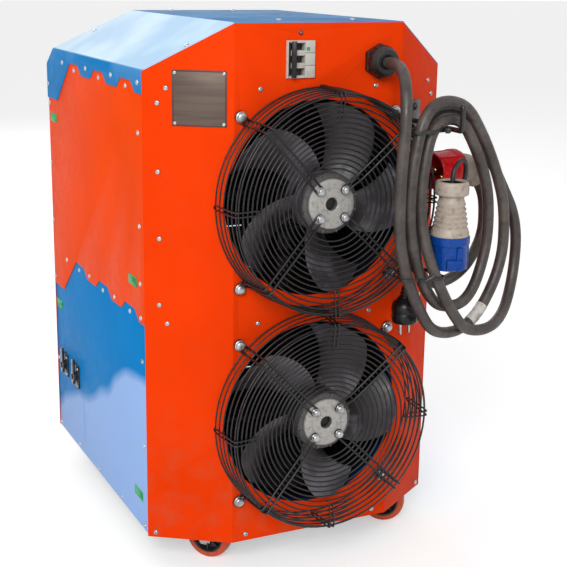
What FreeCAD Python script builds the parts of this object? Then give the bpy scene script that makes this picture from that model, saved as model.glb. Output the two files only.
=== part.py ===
import FreeCAD, Part
import math
import os

# Wheeled hot-air dryer for cars: a sheet-steel cabinet on four swivel castors, two axial fans
# behind wire guards in its front, a supply cable hung in a coil at its right front corner.
# Millimetres. Cabinet axes: X to the object's right, Y from front to back, Z up from the floor,
# with Y = 0 on the flat middle of the front panel. ROW_SHIFT moves every piece at the end.

V = FreeCAD.Vector
X_AXIS = V(1, 0, 0)
Y_AXIS = V(0, 1, 0)
Z_AXIS = V(0, 0, 1)

# Cabinet
WIDTH = 500.0
FRONT_WIDTH = 275.0
WING_DEPTH = 75.0
DEPTH = 605.0
HEIGHT = 800.0
GROUND_GAP = 54.0
SIDE_EAVE_DROP = 70.0
RIDGE_END = 450.0
BACK_EAVE_DROP = 100.0
SHEET = 1.5
BASE_HEIGHT = 44.0
BASE_THICKNESS = 2.0

BOTTOM = GROUND_GAP
TOP = GROUND_GAP + HEIGHT
HALF = WIDTH / 2
FOLD = FRONT_WIDTH / 2
WING_LENGTH = math.hypot(HALF - FOLD, WING_DEPTH)
WING_ANGLE = math.degrees(math.atan2(WING_DEPTH, HALF - FOLD))
SIDE_SLOPE = SIDE_EAVE_DROP / (HALF - FOLD)
BACK_SLOPE = BACK_EAVE_DROP / (DEPTH - RIDGE_END)

# Castellated seams of the side sheets, front to back
NOTCH_PITCH = 139.0
NOTCH_FIRST = 151.0
NOTCH_COUNT = 3
NOTCH_HALF = 24.0
RAMP = 21.0
TOOTH_DROP = 16.0
REAR_FALL = 72.0
REAR_FALL_RUN = 84.0
SKIRT_NOTCH_Z = BOTTOM + 711.0
ORANGE_NOTCH_Z = BOTTOM + 361.0

# Fans
FAN_HEIGHTS = {"lower": BOTTOM + 197.5, "upper": BOTTOM + 539.5}
OPENING_RADIUS = 149.0
BLADE_RADIUS = 145.0
BLADE_COUNT = 5
GUARD_RADIUS = 163.0
GUARD_BASE_RADIUS = 167.0
GUARD_DEPTH = 72.0
GUARD_INNER_RADIUS = 56.0
GUARD_HUB_DEPTH = 52.0
GUARD_RINGS = 10
GUARD_SIDE_RINGS = 4
GUARD_SIDES = 24
GUARD_WIRE = 3.0
STRUT_WIRE = 4.0
STRUT_SPREAD = 5.0
MOUNT_RADIUS = 180.0
MOTOR_BOLT_RADIUS = 29.0
MOTOR_FACE = -47.0
SHAFT_RADIUS = 6.0
RUNNING_CLEARANCE = 0.05

# Castors: swivel axis, trail, wheel
CASTOR_X = 161.0
CASTOR_FRONT_Y = 94.0
CASTOR_REAR_Y = 512.0
CASTOR_TRAIL = 25.0
WHEEL_RADIUS = 37.5
WHEEL_WIDTH = 24.0
RIM_RADIUS = 28.0
AXLE_RADIUS = 5.0
CASTOR_TOP = BOTTOM + BASE_HEIGHT
CASTORS = {
    "front_left": (-CASTOR_X, CASTOR_FRONT_Y, -49.0),
    "front_right": (CASTOR_X, CASTOR_FRONT_Y, -38.0),
    "rear_left": (-CASTOR_X, CASTOR_REAR_Y, -55.0),
    "rear_right": (CASTOR_X, CASTOR_REAR_Y, -44.0),
}

# Supply cable
CORD = 17.5
CORD_SIDES = 8
GLAND_X = 97.0
GLAND_Z = BOTTOM + 742.0
GLAND_LENGTH = 30.0

# The row's origin lies on the floor under the middle of the machine without its cable.
ROW_SHIFT = V(3.4, -246.2, 0)


def export(name, *solids):
    shape = solids[0] if len(solids) == 1 else Part.makeCompound(list(solids))
    moved = shape.copy()
    moved.translate(ROW_SHIFT)
    moved.exportStep("parts/%s.step" % name)


def fused(shapes):
    return shapes[0].multiFuse(shapes[1:]).removeSplitter()


def box(x0, x1, y0, y1, z0, z1):
    return Part.makeBox(x1 - x0, y1 - y0, z1 - z0, V(x0, y0, z0))


def rod(base, axis, radius, length):
    return Part.makeCylinder(radius, length, base, axis)


def plate_of(points, depth):
    face = Part.Face(Part.makePolygon(points + points[:1]))
    return face.extrude(depth)


def placed(shape, base, turn=FreeCAD.Rotation()):
    copy = shape.copy()
    copy.Placement = FreeCAD.Placement(base, turn).multiply(copy.Placement)
    return copy


def turned(profile, base, axis):
    # profile: (radius, distance along the axis)
    points = [V(radius, 0, along) for radius, along in profile]
    face = Part.Face(Part.makePolygon(points + points[:1]))
    solid = face.revolve(V(0, 0, 0), Z_AXIS, 360)
    return placed(solid, base, FreeCAD.Rotation(Z_AXIS, axis))


def hexagon(base, axis, across_flats, length):
    radius = across_flats / math.sqrt(3)
    corners = [V(radius * math.cos(math.radians(60 * i)), radius * math.sin(math.radians(60 * i)), 0)
               for i in range(6)]
    return placed(plate_of(corners, V(0, 0, length)), base, FreeCAD.Rotation(Z_AXIS, axis))


def screw_head(base, outward, across_flats=7.0, height=2.4):
    # hexagon head of a sheet-metal screw
    return hexagon(base, outward, across_flats, height)


def on_wing(shape, side):
    # local frame: origin at the fold's foot, X along the wing towards +X, -Y out of the panel
    turn = FreeCAD.Rotation(Z_AXIS, side * WING_ANGLE)
    return placed(shape, V(side * FOLD, 0, 0), turn)


def inset_outline(distance):
    corners = [(-FOLD, 0), (FOLD, 0), (HALF, WING_DEPTH), (HALF, DEPTH), (-HALF, DEPTH),
               (-HALF, WING_DEPTH)]
    lines = []
    for (x0, y0), (x1, y1) in zip(corners, corners[1:] + corners[:1]):
        length = math.hypot(x1 - x0, y1 - y0)
        nx, ny = -(y1 - y0) / length, (x1 - x0) / length
        lines.append((nx, ny, nx * x0 + ny * y0 + distance))
    inset = []
    for (a, b, c), (d, e, f) in zip(lines[-1:] + lines[:-1], lines):
        det = a * e - b * d
        inset.append(((c * e - b * f) / det, (a * f - c * d) / det))
    return inset


def prism(outline, z0, z1):
    return plate_of([V(x, y, z0) for x, y in outline], V(0, 0, z1 - z0))


def under_roof(shape, inset):
    # cuts off what lies above the roof's flat top and its three slopes, moved inwards by inset
    far = 400.0
    high = TOP + far
    side_top = TOP - inset * math.hypot(1, SIDE_SLOPE)
    back_top = TOP - inset * math.hypot(1, BACK_SLOPE)
    cutters = [box(-far, far, -far, 2 * far, TOP - inset, high)]
    for side in (-1, 1):
        points = [(0, side_top + SIDE_SLOPE * FOLD), (far, side_top - SIDE_SLOPE * (far - FOLD)),
                  (far, high), (0, high)]
        cutters.append(plate_of([V(side * x, -far, z) for x, z in points], V(0, 4 * far, 0)))
    points = [(0, back_top + BACK_SLOPE * RIDGE_END), (2 * far, back_top - BACK_SLOPE * (2 * far - RIDGE_END)),
              (2 * far, high + far), (0, high + far)]
    cutters.append(plate_of([V(-far, y, z) for y, z in points], V(2 * far, 0, 0)))
    return shape.cut(cutters)


def seam(notch_z):
    # lower edge of the upper sheet, from the front corner to the back corner, as (y, z)
    tooth_z = notch_z - TOOTH_DROP
    points = [(WING_DEPTH, tooth_z)]
    for i in range(NOTCH_COUNT):
        middle = NOTCH_FIRST + i * NOTCH_PITCH
        points.append((middle - NOTCH_HALF - RAMP, tooth_z))
        points.append((middle - NOTCH_HALF, notch_z))
        points.append((middle + NOTCH_HALF, notch_z))
        if i < NOTCH_COUNT - 1:
            points.append((middle + NOTCH_HALF + RAMP, tooth_z))
    fall_start = points[-1][0] + 4
    points.append((fall_start, notch_z - 2))
    points.append((fall_start + REAR_FALL_RUN, notch_z - REAR_FALL))
    return points


def side_sheet(points, level, side):
    # a flat side sheet, level sheets in from the outside
    outer = side * (HALF - level * SHEET)
    return plate_of([V(outer, y, z) for y, z in points], V(-side * SHEET, 0, 0))


def front_panel():
    walls = prism(inset_outline(0), BOTTOM, TOP + 10).cut(prism(inset_outline(SHEET), BOTTOM - 10, TOP + 20))
    panel = under_roof(walls, SHEET).common(box(-HALF - 1, HALF + 1, -1, WING_DEPTH, 0, TOP + 10))
    holes = [rod(V(0, -10, z), Y_AXIS, OPENING_RADIUS, 20) for z in FAN_HEIGHTS.values()]
    holes.append(rod(V(GLAND_X, -10, GLAND_Z), Y_AXIS, 16.2, 20))
    holes.append(box(BREAKER_X0, BREAKER_X1, -10, 10, BREAKER_Z0, BREAKER_Z1))
    holes.append(rod(V(LAMP_X, -10, LAMP_Z), Y_AXIS, 3, 20))
    for z in FAN_HEIGHTS.values():
        for point, axis in diagonal_points(z, MOUNT_RADIUS):
            holes.append(rod(point - Y_AXIS * 10, Y_AXIS, 3.2, 20))
    return panel.cut(holes)


def roof_cover():
    skirt_low = SKIRT_NOTCH_Z - REAR_FALL
    hood = under_roof(prism(inset_outline(0), BOTTOM + 500, TOP + 10), 0)
    hollow = under_roof(prism(inset_outline(-10), BOTTOM, TOP + 10), SHEET)
    pieces = [hood.cut(hollow)]
    back_eave = TOP - BACK_EAVE_DROP
    slope_meets = RIDGE_END + SIDE_EAVE_DROP / BACK_SLOPE
    for side in (-1, 1):
        edge = seam(SKIRT_NOTCH_Z) + [(DEPTH, skirt_low), (DEPTH, back_eave),
                                      (slope_meets, TOP - SIDE_EAVE_DROP), (WING_DEPTH, TOP - SIDE_EAVE_DROP)]
        pieces.append(side_sheet(edge, 0, side))
    pieces.append(box(-HALF, HALF, DEPTH - SHEET, DEPTH, skirt_low, back_eave))
    return fused(pieces)


def upper_side_panel(side):
    back = DEPTH - 2 * SHEET
    top_rear = [(back, TOP - BACK_EAVE_DROP - 6), (RIDGE_END + 100, TOP - SIDE_EAVE_DROP - 5),
                (WING_DEPTH, TOP - SIDE_EAVE_DROP - 5)]
    edge = seam(ORANGE_NOTCH_Z) + [(back, ORANGE_NOTCH_Z - REAR_FALL)] + top_rear
    return side_sheet(edge, 1, side)


def lower_side_panel(side):
    back = DEPTH - 2 * SHEET
    overlap = 12.0
    fall = NOTCH_FIRST + 2 * NOTCH_PITCH + NOTCH_HALF + 14
    edge = [(WING_DEPTH, BOTTOM), (WING_DEPTH, ORANGE_NOTCH_Z + overlap), (fall, ORANGE_NOTCH_Z + overlap),
            (fall + REAR_FALL_RUN, ORANGE_NOTCH_Z - REAR_FALL + overlap),
            (back, ORANGE_NOTCH_Z - REAR_FALL + overlap), (back, BOTTOM)]
    return side_sheet(edge, 2, side)


# Rear outlets: one louvred grille behind each heater bank
OUTLET_HALF_WIDTH = 165.0
OUTLET_HALF_HEIGHT = 115.0
OUTLET_HEIGHTS = {"lower": BOTTOM + 175.0, "upper": BOTTOM + 480.0}
LOUVRE_COUNT = 9
LOUVRE_RISE = 1.35
LOUVRE_FLANGE = 14.0


def rear_panel():
    y1 = DEPTH - SHEET
    sheet = box(-HALF + SHEET, HALF - SHEET, y1 - SHEET, y1, BOTTOM, TOP - BACK_EAVE_DROP - 6)
    holes = [box(-OUTLET_HALF_WIDTH, OUTLET_HALF_WIDTH, y1 - 10, y1 + 10, z - OUTLET_HALF_HEIGHT,
                 z + OUTLET_HALF_HEIGHT) for z in OUTLET_HEIGHTS.values()]
    return sheet.cut(holes)


def rear_louvre(z):
    y1 = DEPTH - SHEET
    wide, high = OUTLET_HALF_WIDTH - 1, OUTLET_HALF_HEIGHT - 1
    flange = box(-wide - LOUVRE_FLANGE, wide + LOUVRE_FLANGE, y1, y1 + SHEET, z - high - LOUVRE_FLANGE,
                 z + high + LOUVRE_FLANGE)
    sleeve = box(-wide, wide, y1 - 22, y1 + SHEET, z - high, z + high)
    hollow = box(-wide + 2, wide - 2, y1 - 30, y1 + 10, z - high + 2, z + high - 2)
    frame = flange.fuse(sleeve).cut(hollow)
    pitch = (2 * high - 4) / LOUVRE_COUNT
    slats = []
    for i in range(LOUVRE_COUNT):
        low = z - high + 2 + i * pitch
        rise = min(pitch * LOUVRE_RISE, z + high - 3 - low)
        points = [(y1 - 20, low + rise - 2), (y1 - 20, low + rise), (y1 + SHEET, low + 3), (y1 + SHEET, low + 1)]
        slats.append(plate_of([V(-wide + 1, y, level) for y, level in points], V(2 * wide - 2, 0, 0)))
    return fused([frame] + slats)


def base_plate():
    z0 = BOTTOM + BASE_HEIGHT
    return prism(inset_outline(3 * SHEET), z0, z0 + BASE_THICKNESS)


def bottom_rails():
    # flat bars inside the lower edges of the panels, under the base plate
    z0, z1 = BOTTOM + 3, BOTTOM + BASE_HEIGHT
    bar = 2.0
    rails = [box(-FOLD + 4, FOLD - 4, SHEET, SHEET + bar, z0, BOTTOM + 30)]
    for side in (-1, 1):
        reach = [6, WING_LENGTH - 6] if side > 0 else [-WING_LENGTH + 6, -6]
        rails.append(on_wing(box(reach[0], reach[1], SHEET, SHEET + bar, z0, z1), side))
        inner = HALF - 3 * SHEET
        x0, x1 = sorted((side * inner, side * (inner - bar)))
        rails.append(box(x0, x1, WING_DEPTH + 8, DEPTH - 12, z0, z1))
    back = DEPTH - 2 * SHEET
    rails.append(box(-HALF + 10, HALF - 10, back - bar, back, z0, z1))
    return rails


def corner_posts():
    z0, z1 = BOTTOM + BASE_HEIGHT + BASE_THICKNESS, TOP - BACK_EAVE_DROP - 12
    leg, wall = 28.0, 2.5
    inner = HALF - 3 * SHEET
    posts = []
    for side in (-1, 1):
        for y0, flip in ((WING_DEPTH + 6, 1), (DEPTH - 2 * SHEET, -1)):
            points = [(0, 0), (leg, 0), (leg, wall), (wall, wall), (wall, leg), (0, leg)]
            outline = [V(side * (inner - a), y0 + flip * b, z0) for a, b in points]
            posts.append(plate_of(outline, V(0, 0, z1 - z0)))
    return posts


def diagonal_points(z, radius):
    # four points on the fan's diagonals with the outward direction of each
    result = []
    for i in range(4):
        angle = math.radians(45 + 90 * i)
        axis = V(math.cos(angle), 0, math.sin(angle))
        result.append((V(0, 0, z) + axis * radius, axis))
    return result


def fan_ring(z):
    inner, wall = OPENING_RADIUS + 0.8, 1.5
    profile = [(inner, SHEET), (inner + 16, SHEET), (inner + 16, SHEET + wall), (inner + wall, SHEET + wall),
               (inner + wall, 52), (inner, 52)]
    ring = turned(profile, V(0, 0, z), Y_AXIS)
    return ring.common(prism(inset_outline(SHEET), BOTTOM, TOP))


def guard_depth_at(radius):
    share = (radius - 38.0) / (GUARD_RADIUS - 38.0)
    return -GUARD_HUB_DEPTH - share * (GUARD_DEPTH - GUARD_HUB_DEPTH)


def wire_ring(radius, y, z):
    # one ring of the guard: straight chords of a three-sided wire
    rows = []
    half = GUARD_WIRE / 2
    section = [(-half, half), (half, half), (0, -half)]
    for i in range(GUARD_SIDES):
        angle = 2 * math.pi * (i + 0.5) / GUARD_SIDES
        rows.append([V((radius + a) * math.cos(angle), y + b, z + (radius + a) * math.sin(angle))
                     for a, b in section])
    faces = []
    for i, row in enumerate(rows):
        following = rows[(i + 1) % GUARD_SIDES]
        for j in range(3):
            k = (j + 1) % 3
            corners = [row[j], following[j], following[k], row[k], row[j]]
            faces.append(Part.Face(Part.makePolygon(corners)))
    solid = Part.Solid(Part.Shell(faces))
    if solid.Volume < 0:
        solid.reverse()
    return solid


def bent_wire(points, thickness, offset, angle, z):
    # a wire bent in the radial plane: points are (radius, y), drawn thickness wide
    half = thickness / 2
    left, right = [], []
    for i, (radius, y) in enumerate(points):
        before = points[max(i - 1, 0)]
        after = points[min(i + 1, len(points) - 1)]
        first = (radius - before[0], y - before[1]) if i > 0 else (after[0] - radius, after[1] - y)
        second = (after[0] - radius, after[1] - y) if i < len(points) - 1 else first
        n1 = (-first[1] / math.hypot(*first), first[0] / math.hypot(*first))
        n2 = (-second[1] / math.hypot(*second), second[0] / math.hypot(*second))
        scale = half / (1 + n1[0] * n2[0] + n1[1] * n2[1])
        shift = ((n1[0] + n2[0]) * scale, (n1[1] + n2[1]) * scale)
        left.append((radius + shift[0], y + shift[1]))
        right.append((radius - shift[0], y - shift[1]))
    outline = [V(r, y, offset - half) for r, y in left + right[::-1]]
    wire = plate_of(outline, V(0, 0, thickness))
    # the sketch's X is radial, its Y is the fan's axis and its Z is across the strut
    turn = FreeCAD.Rotation(V(0, -1, 0), angle)
    return placed(wire, V(0, 0, z), turn)


def guard(z):
    pieces = []
    pitch = (GUARD_RADIUS - 3 - GUARD_INNER_RADIUS) / (GUARD_RINGS - 1)
    for i in range(GUARD_RINGS):
        radius = GUARD_INNER_RADIUS + i * pitch
        pieces.append(wire_ring(radius, guard_depth_at(radius), z))
    for i in range(GUARD_SIDE_RINGS):
        share = (i + 1) / GUARD_SIDE_RINGS
        radius = GUARD_RADIUS + share * (GUARD_BASE_RADIUS - GUARD_RADIUS)
        pieces.append(wire_ring(radius, -GUARD_DEPTH + 4 + share * (GUARD_DEPTH - 7), z))
    shoulder = (GUARD_RADIUS + 2, -GUARD_DEPTH - 2)
    strut = [(MOTOR_BOLT_RADIUS + 5, MOTOR_FACE - 2), (40, MOTOR_FACE - 2),
             (50, guard_depth_at(50) - 2), shoulder,
             (GUARD_BASE_RADIUS + 1, -2), (MOUNT_RADIUS - 6, -2)]
    stay = [(128, guard_depth_at(128) - 2), shoulder, (GUARD_BASE_RADIUS + 2, -2)]
    for i in range(4):
        for offset in (-STRUT_SPREAD, STRUT_SPREAD):
            pieces.append(bent_wire(strut, STRUT_WIRE, offset, 45 + 90 * i, z))
            pieces.append(bent_wire(stay, STRUT_WIRE, offset, 90 * i, z))
    for point, axis in diagonal_points(z, MOTOR_BOLT_RADIUS):
        pieces.append(eye(point + Y_AXIS * (MOTOR_FACE - 4), 8, 3.4))
    for point, axis in diagonal_points(z, MOUNT_RADIUS):
        pieces.append(eye(point - Y_AXIS * 4, 8.5, 3.4))
    return fused(pieces)


def eye(base, outer, inner):
    # the flattened loop of a strut around its bolt
    ring = hexagon(base, Y_AXIS, 2 * outer, 4)
    return ring.cut(rod(base - Y_AXIS, Y_AXIS, inner, 6))


def motor(z):
    profile = [(0, -38), (10, -38), (10, MOTOR_FACE), (36, MOTOR_FACE), (38, -45), (38, -41), (44, -38.5),
               (46, -36.5), (46, -24), (20, -24), (20, -14), (37, -14), (37, 8), (20, 8), (20, 12),
               (SHAFT_RADIUS + RUNNING_CLEARANCE, 12), (SHAFT_RADIUS + RUNNING_CLEARANCE, -20), (0, -20)]
    body = turned(profile, V(0, 0, z), Y_AXIS)
    threads = [rod(point + Y_AXIS * (MOTOR_FACE - 1), Y_AXIS, 3, 13)
               for point, axis in diagonal_points(z, MOTOR_BOLT_RADIUS)]
    return body.cut(threads)


def blade_section(radius):
    # a cambered plate section square to the radius, as a closed wire
    share = (radius - 44.0) / (BLADE_RADIUS - 44.0)
    sweep = math.radians(-4 + 26 * share ** 1.4)
    chord = 52 + 56 * share - 14 * share ** 3
    pitch = math.radians(38 - 14 * share)
    camber, thick = 0.07 * chord, 2.4
    tangent = V(-math.sin(sweep), 0, math.cos(sweep))
    radial = V(math.cos(sweep), 0, math.sin(sweep))
    along = tangent * math.cos(pitch) + Y_AXIS * math.sin(pitch)
    normal = Y_AXIS * math.cos(pitch) - tangent * math.sin(pitch)
    centre = radial * radius
    points = []
    for s in (-0.5, -0.18, 0.18, 0.5):
        points.append(centre + along * (s * chord) - normal * (camber * (1 - 4 * s * s)))
    upper = [points[0]] + [p - normal * thick for p in points[1:3]] + [points[3]]
    lower = [p + normal * (0.5 if i in (0, 3) else 0) for i, p in enumerate(points)]
    ring = upper + lower[::-1]
    return Part.makePolygon(ring + ring[:1])


def rotor(z):
    hub = turned([(0, -18), (SHAFT_RADIUS, -18), (SHAFT_RADIUS, 15), (41, 15), (41, -22), (46.5, -22),
                  (46.5, 18), (43, 22), (0, 22)], V(0, 0, 0), Y_AXIS)
    blade = Part.makeLoft([blade_section(r) for r in (44.0, 72.0, 100.0, 124.0, BLADE_RADIUS)], True, True)
    inside = turned([(0, -60), (BLADE_RADIUS, -60), (BLADE_RADIUS, 60), (0, 60)], V(0, 0, 0), Y_AXIS)
    blade = blade.common(inside)
    blades = [placed(blade, V(0, 0, 0), FreeCAD.Rotation(Y_AXIS, 360.0 / BLADE_COUNT * i + 20))
              for i in range(BLADE_COUNT)]
    return placed(fused([hub] + blades), V(0, 0, z))


def motor_bolts():
    bolts = []
    for z in FAN_HEIGHTS.values():
        for point, axis in diagonal_points(z, MOTOR_BOLT_RADIUS):
            seat = point + Y_AXIS * (MOTOR_FACE - 4)
            washer = rod(seat, Y_AXIS * -1, 6.5, 1.2)
            head = washer.fuse(hexagon(seat - Y_AXIS * 1.2, Y_AXIS * -1, 10, 4.4))
            bolts.append(head.fuse(rod(seat - Y_AXIS * 0.5, Y_AXIS, 3, 14)))
    return bolts


def guard_bolts():
    bolts = []
    for z in FAN_HEIGHTS.values():
        for point, axis in diagonal_points(z, MOUNT_RADIUS):
            seat = point - Y_AXIS * 4
            profile = [(0, 0), (8.5, 0), (8.5, -1.4), (7, -1.4), (5, -5.4), (0, -6.4)]
            head = turned(profile, seat, Y_AXIS)
            bolts.append(head.fuse(rod(seat - Y_AXIS * 0.5, Y_AXIS, 3, 16)))
    return bolts


def heater_bank(z, half):
    # steel frame from side panel to side panel, with four finned rods behind the fan
    y0, y1 = 250.0, 290.0
    reach, wall = FAN_HEIGHTS["lower"] - BOTTOM - BASE_HEIGHT - BASE_THICKNESS, 2.0
    frame = box(-half, half, y0, y1, z - reach, z + reach)
    frame = frame.cut(box(-half + wall, half - wall, y0 - 1, y1 + 1, z - reach + wall, z + reach - wall))
    rods = []
    for i in range(4):
        level = z - 105 + 70 * i
        rods.append(rod(V(-half + 1, (y0 + y1) / 2, level), X_AXIS, 6, 2 * half - 2))
        for j in range(3):
            x = -121 + 120 * j
            rods.append(box(x, x + 2, y0 + 5, y1 - 5, level - 15, level + 15))
    return fused([frame] + rods)


# Electrics behind the breaker: an open tray fixed to the front panel, with two contactors
TRAY_LEFT = -112.0
TRAY_RIGHT = 64.0
TRAY_DEPTH = 170.0
TRAY_Z = BOTTOM + 707.0
TRAY_WALL = 1.5


def control_tray():
    outside = box(TRAY_LEFT, TRAY_RIGHT, SHEET, TRAY_DEPTH, TRAY_Z, TRAY_Z + 50)
    inside = box(TRAY_LEFT + TRAY_WALL, TRAY_RIGHT - TRAY_WALL, 0, TRAY_DEPTH - TRAY_WALL,
                 TRAY_Z + TRAY_WALL, TRAY_Z + 60)
    rail = box(TRAY_LEFT + 10, TRAY_RIGHT - 10, 118, 153, TRAY_Z + TRAY_WALL, TRAY_Z + 9)
    return fused([outside.cut(inside), rail])


def contactors():
    blocks = []
    for x in (-90, -15):
        base = box(x, x + 45, 98, 165, TRAY_Z + 9, TRAY_Z + 40)
        nose = box(x + 4, x + 41, 112, 151, TRAY_Z + 40, TRAY_Z + 68)
        blocks.append(fused([base, nose]))
    return blocks


# Three-pole circuit breaker lying on its side in a window of the front panel
BREAKER_X0 = -56.0
BREAKER_X1 = -11.0
BREAKER_Z0 = BOTTOM + 720.0
BREAKER_Z1 = BOTTOM + 774.0
POLE_HEIGHT = (BREAKER_Z1 - BREAKER_Z0) / 3
LEVER_X = -38.0
LEVER_Y = 6.0
LAMP_X = -33.0
LAMP_Z = BOTTOM + 784.5
LEVER_REST = -32.0


def breaker_body():
    body = box(BREAKER_X0, BREAKER_X1, -4, 56, BREAKER_Z0, BREAKER_Z1)
    step = box(BREAKER_X0 - 1, BREAKER_X0 + 6, -5, -1.5, BREAKER_Z0 - 1, BREAKER_Z1 + 1)
    cuts = [step]
    for i in range(3):
        middle = BREAKER_Z0 + (i + 0.5) * POLE_HEIGHT
        cuts.append(box(LEVER_X - 11, LEVER_X + 11, -10, LEVER_Y + 5, middle - 5, middle + 5))
    cuts.append(rod(V(LEVER_X, LEVER_Y, BREAKER_Z0 - 1), Z_AXIS, 2 + RUNNING_CLEARANCE, 56))
    return body.cut(cuts)


def breaker_levers():
    pieces = [rod(V(LEVER_X, LEVER_Y, BREAKER_Z0 + 1), Z_AXIS, 2, BREAKER_Z1 - BREAKER_Z0 - 2)]
    for i in range(3):
        middle = BREAKER_Z0 + (i + 0.5) * POLE_HEIGHT
        profile = [(-3.6, 2.5), (-3.0, -9), (-2.2, -19), (2.2, -19), (3.0, -9), (3.6, 2.5)]
        points = [V(LEVER_X + x, LEVER_Y + y, middle - 4) for x, y in profile]
        pieces.append(plate_of(points, V(0, 0, 8)))
    pieces.append(box(LEVER_X - 2.2, LEVER_X + 2.2, LEVER_Y - 19, LEVER_Y - 14, BREAKER_Z0 + 5,
                      BREAKER_Z1 - 5))
    levers = fused(pieces)
    levers.rotate(V(LEVER_X, LEVER_Y, 0), Z_AXIS, LEVER_REST)
    return levers


def indicator_lamp():
    profile = [(0, 6), (2.9, 6), (2.9, 0), (4, 0), (4, -0.8), (2.8, -1.4), (1.8, -2.8), (0, -3.2)]
    return turned(profile, V(LAMP_X, 0, LAMP_Z), Y_AXIS)


# Nameplate on the left wing, 80 mm square
PLATE_SIZE = 80.0
PLATE_MIDDLE = -50.0
PLATE_Z = BOTTOM + 692.0


def nameplate():
    half = PLATE_SIZE / 2
    sheet = box(PLATE_MIDDLE - half, PLATE_MIDDLE + half, -1, 0, PLATE_Z - half, PLATE_Z + half)
    return on_wing(sheet, -1)


def plate_rivets():
    heads = []
    reach = PLATE_SIZE / 2 - 4
    for dx in (-reach, reach):
        for dz in (-reach, reach):
            head = screw_head(V(PLATE_MIDDLE + dx, -1, PLATE_Z + dz), V(0, -1, 0), 5.0, 1.4)
            heads.append(on_wing(head, -1))
    return heads


def cable_gland():
    # locknut and threaded body in the panel, with the hexagon outside
    outside = hexagon(V(GLAND_X, -9, GLAND_Z), Y_AXIS, 46, 9)
    thread = rod(V(GLAND_X, -18, GLAND_Z), Y_AXIS, 16, 32)
    nut = hexagon(V(GLAND_X, SHEET, GLAND_Z), Y_AXIS, 42, 6)
    return fused([outside, thread, nut])


def gland_cap():
    bore = CORD / 2 + 0.6
    profile = [(16, -9), (24, -9), (24, -20), (19, -GLAND_LENGTH + 2), (17, -GLAND_LENGTH),
               (bore, -GLAND_LENGTH), (bore, -22), (0, -22), (0, -18), (16, -18)]
    return turned(profile, V(GLAND_X, 0, GLAND_Z), Y_AXIS)


# Supply cable. The coil lies in a plane that leans back to the right; its points are given in that
# plane as (along, across, height, heading), with across counted towards the cabinet.
COIL_ANGLE = math.radians(15)
COIL_START = V(100, -94, BOTTOM)
COIL_ALONG = V(math.cos(COIL_ANGLE), math.sin(COIL_ANGLE), 0)
COIL_ACROSS = V(-math.sin(COIL_ANGLE), math.cos(COIL_ANGLE), 0)

# One line for each turn: left, lower left, bottom, right, upper right, top
COIL_ROUTE = [
    (-35, -19, 540, 270), (-4, -19, 415, 297), (86, -19, 333, 0),
    (205, -17, 470, 90), (155, -20, 608, 122), (54, -20, 690, 180),
    (-14, -19, 548, 270), (17, -18, 430, 297), (92, -16, 374, 0),
    (170, -13, 490, 90), (126, -19, 612, 122), (63, -19, 664, 180),
    (9, -19, 556, 270), (44, -37, 408, 302), (140, -38, 332, 0),
    (248, -8, 440, 90), (178, 0, 600, 124), (78, 0, 672, 180),
    (15, 1, 550, 270), (84, 6, 408, 0), (210, 30, 500, 90), (193, 36, 554, 135),
]

LEAD_ROUTE = [
    (97, -22, 742), (97, -56, 742), (90, -87, 730), (81, -110, 708), (76, -121, 680), (73.6, -123.4, 648),
    (71.8, -122.4, 612), (71.1, -121.4, 576), (71.1, -121.4, 540),
]

# Thin lead of the adapter, in the coil's plane
ADAPTER_CORD = 7.0
ADAPTER_ROUTE = [
    (66, -27, 563), (66, -27, 584), (75.4, -26, 597), (90.6, -22, 602), (105.8, -16, 597),
    (114, -11, 584), (115, -8, 567), (112, -4, 549), (107, 3, 532), (100, 13, 515), (91, 23, 497),
    (80, 32, 479), (69, 37, 461), (58, 40, 445), (50, 41, 432), (47, 40, 419), (47, 40, 401),
]


def in_coil(point):
    along, across, height = point[:3]
    return COIL_START + COIL_ALONG * along + COIL_ACROSS * across + Z_AXIS * height


def arc_from(start, direction, end):
    # the circular arc that leaves start along direction and reaches end, as its three points
    chord = end - start
    unit = V(chord).normalize()
    lift = direction - unit * direction.dot(unit)
    if lift.Length < 1e-6:
        return None
    half_angle = direction.getAngle(chord) / 2
    middle = start + chord * 0.5 + V(lift).normalize() * (chord.Length / 2 * math.tan(half_angle))
    return start, middle, end


def biarc(start, first, end, last):
    # two tangent arcs from start along first to end along last
    gap = end - start
    a = 2 * (1 - first.dot(last))
    b = 2 * gap.dot(first + last)
    c = -gap.dot(gap)
    reach = (-b + math.sqrt(b * b - 4 * a * c)) / (2 * a) if a > 1e-9 else -c / b
    joint = (start + first * reach + end - last * reach) * 0.5
    opening = arc_from(start, first, joint)
    closing = arc_from(end, last * -1, joint)
    return [opening, (closing[2], closing[1], closing[0])]


def coil_heading(point):
    angle = math.radians(point[3])
    return COIL_ALONG * math.cos(angle) + Z_AXIS * math.sin(angle)


def coil_arcs():
    arcs = []
    for before, after in zip(COIL_ROUTE, COIL_ROUTE[1:]):
        arcs += biarc(in_coil(before), coil_heading(before), in_coil(after), coil_heading(after))
    return arcs


def cord_section(centre, direction, diameter, sides):
    spoke = V(-direction.z, 0, direction.x)
    if spoke.Length < 0.5:
        spoke = V(direction.y, -direction.x, 0)
    spoke.normalize()
    side = direction.cross(spoke).normalize()
    corners = []
    for i in range(sides):
        angle = 2 * math.pi * (i + 0.5) / sides
        corners.append(centre + (spoke * math.cos(angle) + side * math.sin(angle)) * (diameter / 2))
    return Part.makePolygon(corners + corners[:1])


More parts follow.
